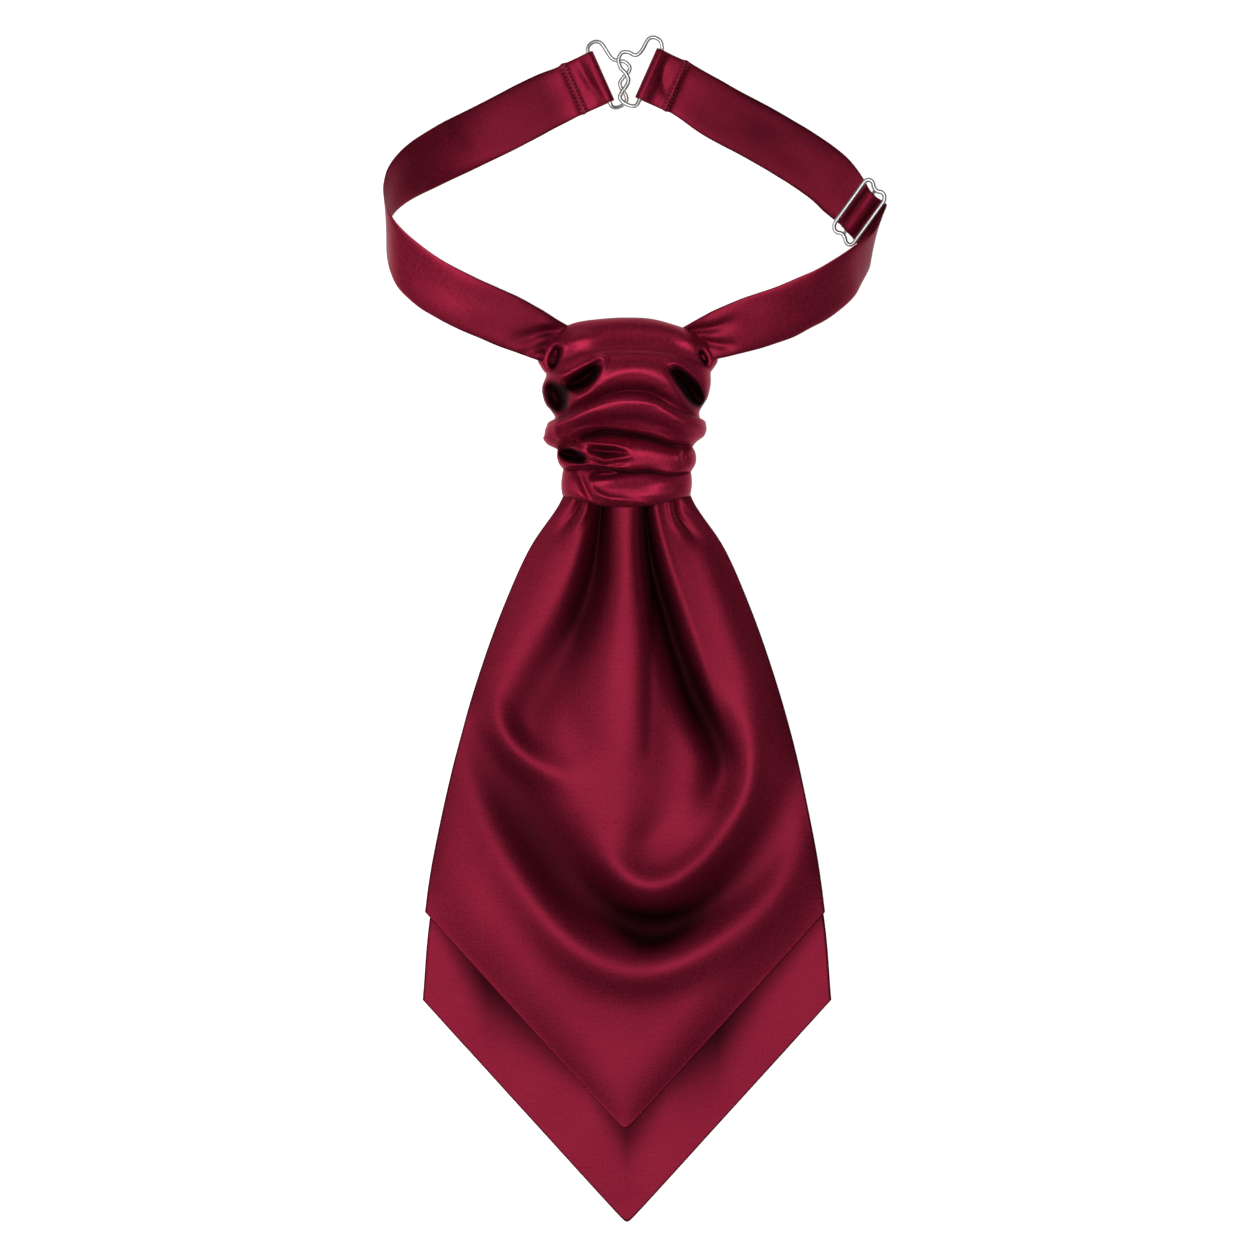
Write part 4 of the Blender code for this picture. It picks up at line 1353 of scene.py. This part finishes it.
def wire(name, points, radius, closed):
    """A round wire along its points, in millimetres."""
    curve = bpy.data.curves.new(name, "CURVE")
    curve.dimensions = "3D"
    curve.bevel_depth = radius * MM
    curve.bevel_resolution = 6
    curve.use_fill_caps = not closed
    spline = curve.splines.new("POLY")
    spline.points.add(len(points) - 1)
    for point, place in zip(spline.points, in_scene(*np.asarray(points, float).T)):
        point.co = (*place, 1.0)
    spline.use_cyclic_u = closed
    drawn = add_object(name + "_line", curve)
    bpy.context.view_layer.update()
    mesh = bpy.data.meshes.new_from_object(drawn.evaluated_get(bpy.context.evaluated_depsgraph_get()))
    bpy.data.objects.remove(drawn)
    bpy.data.curves.remove(curve)
    bm = bmesh.new()
    bm.from_mesh(mesh)
    bmesh.ops.remove_doubles(bm, verts=bm.verts, dist=SAME_WIRE_POINT)
    bmesh.ops.recalc_face_normals(bm, faces=bm.faces)
    return smooth_piece(name, bm, mesh)


def closed_line(rows):
    """A closed smooth line through the rows."""
    rows = np.asarray(rows, float)
    wrapped = np.vstack([rows[-2:], rows, rows[:3]])
    return smooth_rows(wrapped)[2 * STEPS : (2 + len(rows)) * STEPS]


def slide_line():
    """The slide's outline: each corner is the same quarter, mirrored."""
    quarter = np.array(SLIDE_QUARTER)
    top = np.vstack([quarter, quarter[-2::-1] * (-1, 1)])
    ring = closed_line(np.vstack([top, top[-2:0:-1] * (1, -1)]))
    return np.array([slide_spot(along, across, ROD_UP) for along, across in ring])


left_wire = wire("hook_wire", closed_line(LEFT_WIRE), WIRE_RADIUS, True)
right_wire = wire("ring_wire", closed_line(RIGHT_WIRE), WIRE_RADIUS, True)
slide = wire("slide_wire", slide_line(), WIRE_RADIUS, True)
bar_reach = SLIDE_QUARTER[-1][1]
bar_line = [slide_spot(0, -bar_reach, BAR_UP), slide_spot(0, bar_reach, BAR_UP)]
slide_bar = wire("slide_bar_wire", bar_line, BAR_RADIUS, False)

# %% [markdown]
# ## Zigzag stitches
# A machine zigzag holds each turned end down on its ridge. One thread runs from edge to edge and back, so
# a single thin tube along a zigzag line makes the whole row.

# %% Stitching on the ridges
STITCHES = 13
STITCH_STEPS = 3
STITCHED_SHARE = 0.94
STITCH_SWING = 1.0
STITCH_UP = 0.08
THREAD_RADIUS = 0.24
FAR_AWAY = 1e9


def zigzag(name, rows, end):
    """The thread across a band's ridge."""
    path = band_path(rows)
    outs = np.hypot(path[:, 0] - end[0], path[:, 1] - end[1])
    upper = path[:, 6] > UPPER_SIDE_FROM
    points = []
    for i in range(2 * STITCHES + 1):
        across = STITCHED_SHARE * (i / STITCHES - 1)
        swing = RIDGE_OUT + (STITCH_SWING if i % 2 else -STITCH_SWING)
        index = int(np.argmin(np.where(upper, np.abs(outs - swing), FAR_AWAY)))
        row = path[index : index + 1]
        ridge = RIDGE_HEIGHT * math.exp(-(((swing - RIDGE_OUT) / RIDGE_WIDTH) ** 2))
        top = BAND_WALL / 2 + ridge + STITCH_UP
        spot = band_spot(row, np.array([across * row[0, 3] / 2]), np.array([top]))
        points.append([float(axis[0]) for axis in spot])
    return wire(name, smooth_rows(points, STITCH_STEPS), THREAD_RADIUS, False)


left_stitches = zigzag("left_end_stitches", left_rows, LEFT_END)
right_stitches = zigzag("right_end_stitches", right_rows, RIGHT_END)

# %% [markdown]
# ## Shader maths as Python
# A socket wrapped in a small class can be added and multiplied like a number, and each sign adds its Math
# node. One method makes every other node: its type, its settings, and then the values or links of its
# sockets.

# %% Sockets that do sums
class Amount:
    """A number that changes over a surface, as the socket that gives it."""

    def __init__(self, finish, socket):
        self.finish = finish
        self.socket = socket

    def sum(self, operation, *values):
        """A Math node on this amount and others."""
        node = self.finish.node("ShaderNodeMath", {"operation": operation}, dict(enumerate(values)))
        return Amount(self.finish, node.outputs[0])

    def __add__(self, other):
        return self.sum("ADD", self, other)

    def __sub__(self, other):
        return self.sum("SUBTRACT", self, other)

    def __mul__(self, other):
        return self.sum("MULTIPLY", self, other)


class Finish:
    """A material with its Principled shader."""

    def __init__(self, name):
        self.material = bpy.data.materials.new(name)
        self.material.use_nodes = True
        self.tree = self.material.node_tree
        self.shader = self.tree.nodes["Principled BSDF"]

    def node(self, kind, settings, sockets):
        """A node with its settings, then its sockets' values or links."""
        made = self.tree.nodes.new(kind)
        for name, value in settings.items():
            setattr(made, name, value)
        self.fill(made, sockets)
        return made

    def fill(self, made, sockets):
        """Values and links of a node's sockets."""
        for name, value in sockets.items():
            if isinstance(value, Amount):
                value = value.socket
            if isinstance(value, bpy.types.NodeSocket):
                self.tree.links.new(value, made.inputs[name])
            else:
                made.inputs[name].default_value = value

    def noise(self, vector, scale, detail):
        """Soft noise from 0 to 1, with more fine layers for a higher detail."""
        made = self.node("ShaderNodeTexNoise", {}, {"Vector": vector, "Scale": scale, "Detail": detail})
        return Amount(self, made.outputs["Fac"])

    def here(self):
        """Each place in its object's own coordinates."""
        return self.node("ShaderNodeTexCoord", {}, {}).outputs["Object"]

    def relief(self, height, strength, distance):
        """A fine relief on the surface, its distance in metres."""
        sockets = {"Height": height, "Strength": strength, "Distance": distance}
        self.fill(self.shader, {"Normal": self.node("ShaderNodeBump", {}, sockets).outputs[0]})

    def blend(self, part, colour_a, colour_b):
        """Colour between two, by an amount from 0 to 1."""
        made = self.node("ShaderNodeMix", {"data_type": "RGBA"}, {0: part, 6: colour_a, 7: colour_b})
        return made.outputs[2]


# %% [markdown]
# ## Satin
# Satin's warp threads float over several weft threads at a time, so it reflects along the cloth in a soft
# coloured sheen and turns nearly black where a fold faces away. The shader is partly metallic for that
# coloured reflection, with a sheen for the pale bloom at grazing angles. Four layers of detail come from
# the piece's own threads: long fine floats, the small sparkle of single threads, painted into the colour
# as lighter and darker specks, the weft's slight slubs, and a slow random change of tone. The shade
# painted into each piece darkens the colour further in its folds.

# %% The satin finish
FLOAT_WIDTH = 0.00035
FLOAT_LENGTH = 0.0045
SLUB_WIDTH = 0.009
SLUB_LENGTH = 0.0011
SHADE_WIDTH = 0.03
SHADE_LENGTH = 0.05
GRAIN_SIZE = 0.0009
COLOUR_SHARES = (0.5, 1.1, 0.2, 0.35, -0.53)
RELIEF_SHARES = (0.5, 0.5, 0.6)
ROUGHNESS_SHARE = 0.10
MOST_FOLD_SHADE = 0.985
SATIN_SHEEN = (0.62, 0.40, 0.52, 1.0)
FOLD_SHADE = (0.007, 0.0002, 0.0008, 1.0)


def satin(name, lit, deep, roughness):
    """Satin between a lit and a deep tone of its dye: threads' unevenness and painted sparkle."""
    finish = Finish(name)
    threads = finish.node("ShaderNodeUVMap", {"uv_map": "threads"}, {}).outputs[0]

    def stretched(width, length):
        """The threads' places, one unit for each width across and length along, in metres."""
        scale = (1 / width, 1 / length, 1)
        made = finish.node("ShaderNodeVectorMath", {"operation": "MULTIPLY"}, {0: threads, 1: scale})
        return made.outputs[0]

    floats = finish.noise(stretched(FLOAT_WIDTH, FLOAT_LENGTH), 1.0, 3.0)
    slubs = finish.noise(stretched(SLUB_WIDTH, SLUB_LENGTH), 1.0, 2.0)
    shade = finish.noise(stretched(SHADE_WIDTH, SHADE_LENGTH), 1.0, 1.0)
    grain_and_sparkle = finish.noise(stretched(GRAIN_SIZE, GRAIN_SIZE), 1.0, 3.0)
    by_floats, by_sparkle, by_slubs, by_shade, start = COLOUR_SHARES
    part = floats * by_floats + grain_and_sparkle * by_sparkle + slubs * by_slubs + shade * by_shade + start
    shade_node = finish.node("ShaderNodeAttribute", {"attribute_name": "painted_shade"}, {})
    shade_amount = Amount(finish, shade_node.outputs["Fac"])
    # The colour darkens towards FOLD_SHADE, nearly black, by the painted shade each point holds: in folds,
    # pockets, under the rolls, beside the hem and along the bands.
    finish.fill(finish.shader, {
        "Base Color": finish.blend(shade_amount * MOST_FOLD_SHADE, finish.blend(part, deep, lit), FOLD_SHADE),
        "Roughness": (floats - 0.5) * ROUGHNESS_SHARE + (grain_and_sparkle - 0.5) * ROUGHNESS_SHARE + roughness,
        "Metallic": 0.86,
        "Specular IOR Level": 0.1,
        "Sheen Weight": 0.03,
        "Sheen Roughness": 0.4,
        "Sheen Tint": SATIN_SHEEN,
    })
    floats_up, grain_up, slubs_up = RELIEF_SHARES
    height = floats * floats_up + grain_and_sparkle * grain_up + slubs * slubs_up
    finish.relief(height, strength=0.35, distance=0.00012)
    return finish.material


# One satin for every piece: the wrap and bands get a brighter dye than the aprons, a painted difference in
# the light on each piece.
wrap_satin = satin("wrap satin", (0.41, 0.0215, 0.063, 1), (0.18, 0.0052, 0.022, 1), 0.54)
front_satin = satin("front apron satin", (0.25, 0.0135, 0.038, 1), (0.108, 0.0032, 0.013, 1), 0.56)
back_satin = satin("back apron satin", (0.245, 0.0132, 0.037, 1), (0.105, 0.0031, 0.0128, 1), 0.56)
band_satin = satin("band satin", (0.385, 0.0205, 0.058, 1), (0.166, 0.0050, 0.020, 1), 0.54)

# %% [markdown]
# ## Nickel and thread
# The wire is nickel plate: a soft pale grey, with fine scratches from handling and a duller bloom here
# and there. The stitching thread is the satin's own red, without its gloss.

# %% Nickel and thread finishes
PLATE_ROUGHNESS = 0.30
SCRATCH_SCALE = 2600.0
SCRATCH_ROUGHNESS = 0.12
BLOOM_SCALE = 240.0
BLOOM_ROUGHNESS = 0.10
BLOOM_DULLNESS = 0.72
BLOOM_GAIN = 0.8
BLOOM_CUT = 0.1
THREAD_ROUGHNESS = 0.5
TWIST_SCALE = 4200.0
TWIST_ROUGHNESS = 0.2
# The darker thread colour is painted shade for the turns of the twist, set at random specks.
THREAD_TWIST_SHADE = (0.14, 0.005, 0.018, 1)
THREAD_LIT = (0.30, 0.018, 0.05, 1)


def nickel(name, colour):
    """Nickel plate in its own shade of grey."""
    finish = Finish(name)
    here = finish.here()
    scratches = finish.noise(here, SCRATCH_SCALE, 4.0)
    bloom = finish.noise(here, BLOOM_SCALE, 2.0)
    dull = tuple(BLOOM_DULLNESS * part for part in colour[:3]) + (1.0,)
    finish.fill(finish.shader, {
        "Base Color": finish.blend(bloom * BLOOM_GAIN - BLOOM_CUT, colour, dull),
        "Roughness": scratches * SCRATCH_ROUGHNESS + bloom * BLOOM_ROUGHNESS + PLATE_ROUGHNESS,
        "Metallic": 1.0,
    })
    finish.relief(scratches, strength=0.15, distance=0.00004)
    return finish.material


def sewing_thread():
    """Matt sewing thread, with random darker specks painted as shade in the turns of its twist."""
    finish = Finish("sewing thread")
    twist = finish.noise(finish.here(), TWIST_SCALE, 2.0)
    finish.fill(finish.shader, {
        "Base Color": finish.blend(twist, THREAD_TWIST_SHADE, THREAD_LIT),
        "Roughness": twist * TWIST_ROUGHNESS + THREAD_ROUGHNESS,
    })
    return finish.material


hook_nickel = nickel("hook nickel", (0.56, 0.56, 0.55, 1.0))
slide_nickel = nickel("slide nickel", (0.52, 0.52, 0.52, 1.0))
thread_red = sewing_thread()

# %% [markdown]
# ## Which piece is what
# Each cloth piece stands for its solid, rides on the one body, and takes its finish from the table.

# %% Pieces, solids, slots and finishes
PIECES = [
    # piece, solid, slot, finish
    (wrap, "ruched_wrap", "wrap_satin", wrap_satin),
    (front, "front_apron", "front_satin", front_satin),
    (back, "back_apron", "back_satin", back_satin),
    (left_band, "band_left", "band_satin", band_satin),
    (right_band, "band_right", "band_satin", band_satin),
    (left_wire, "hook_wire_left", "hook_nickel", hook_nickel),
    (right_wire, "hook_wire_right", "hook_nickel", hook_nickel),
    (slide, "slide_frame", "slide_nickel", slide_nickel),
    (slide_bar, "slide_bar", "slide_nickel", slide_nickel),
]
for piece, solid, slot, finish in PIECES:
    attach(piece, "root")
    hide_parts(solid)
    piece.data.materials.append(finish)
for piece in (left_stitches, right_stitches):
    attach(piece, "root")
    piece.data.materials.append(thread_red)


# %% [markdown]
# ## Table, light and camera
# The cravat lies on a plain pale table under soft studio light. One large soft box hangs almost overhead
# and gives the folds their lit crests, and a weaker one on the left opens the shadows. The camera looks
# straight down from 1.85 metres, far enough for the straight outlines to stay straight.

# %% The table
TABLE_REACH = 2.5
TABLE_BELOW = 0.0004
bm = bmesh.new()
bmesh.ops.create_grid(bm, x_segments=1, y_segments=1, size=TABLE_REACH)
bmesh.ops.translate(bm, verts=bm.verts, vec=(0, 0, -TABLE_BELOW))
table_mesh = bpy.data.meshes.new("table")
bm.to_mesh(table_mesh)
bm.free()
table = add_object("table", table_mesh)
table_finish = Finish("table white")
table_finish.fill(table_finish.shader, {
    "Base Color": (0.6, 0.6, 0.6, 1.0),
    "Roughness": 0.9,
    "Emission Color": (1.0, 1.0, 1.0, 1.0),
    "Emission Strength": 0.85,
})
table.data.materials.append(table_finish.material)

# %% Soft boxes
def soft_box(name, place, aim, size, power):
    """A square area light that faces its aim."""
    lamp = bpy.data.lights.new(name, "AREA")
    lamp.shape = "SQUARE"
    lamp.size = size
    lamp.energy = power
    box = add_object(name, lamp)
    box.location = place
    box.rotation_euler = (Vector(aim) - Vector(place)).to_track_quat("-Z", "Y").to_euler()


KEY_PLACE = (-0.18, -0.08, 1.8)
SIDE_PLACE = (-1.3, 0.1, 1.0)
MIDDLE = (0, 0, 0)
ROOM_LIGHT = 0.08
soft_box("key", KEY_PLACE, MIDDLE, size=0.8, power=23.0)
soft_box("side", SIDE_PLACE, MIDDLE, size=0.6, power=4.0)
world = bpy.data.worlds.new("studio")
world.use_nodes = True
world.node_tree.nodes["Background"].inputs["Color"].default_value = (1, 1, 1, 1)
world.node_tree.nodes["Background"].inputs["Strength"].default_value = ROOM_LIGHT
bpy.context.scene.world = world
bpy.context.scene.view_settings.view_transform = "Standard"

# %% Camera
CAMERA_HEIGHT = 1.85
FRAME_WIDTH = 0.4439
CAMERA_UP_TABLE = 0.000685
camera_data = bpy.data.cameras.new("camera")
camera_data.sensor_width = 36.0
camera_data.lens = camera_data.sensor_width * CAMERA_HEIGHT / FRAME_WIDTH
camera_data.clip_end = 10.0
camera = add_object("camera", camera_data)
camera.location = (AXIS_X * MM, CAMERA_UP_TABLE, CAMERA_HEIGHT)
bpy.context.scene.camera = camera
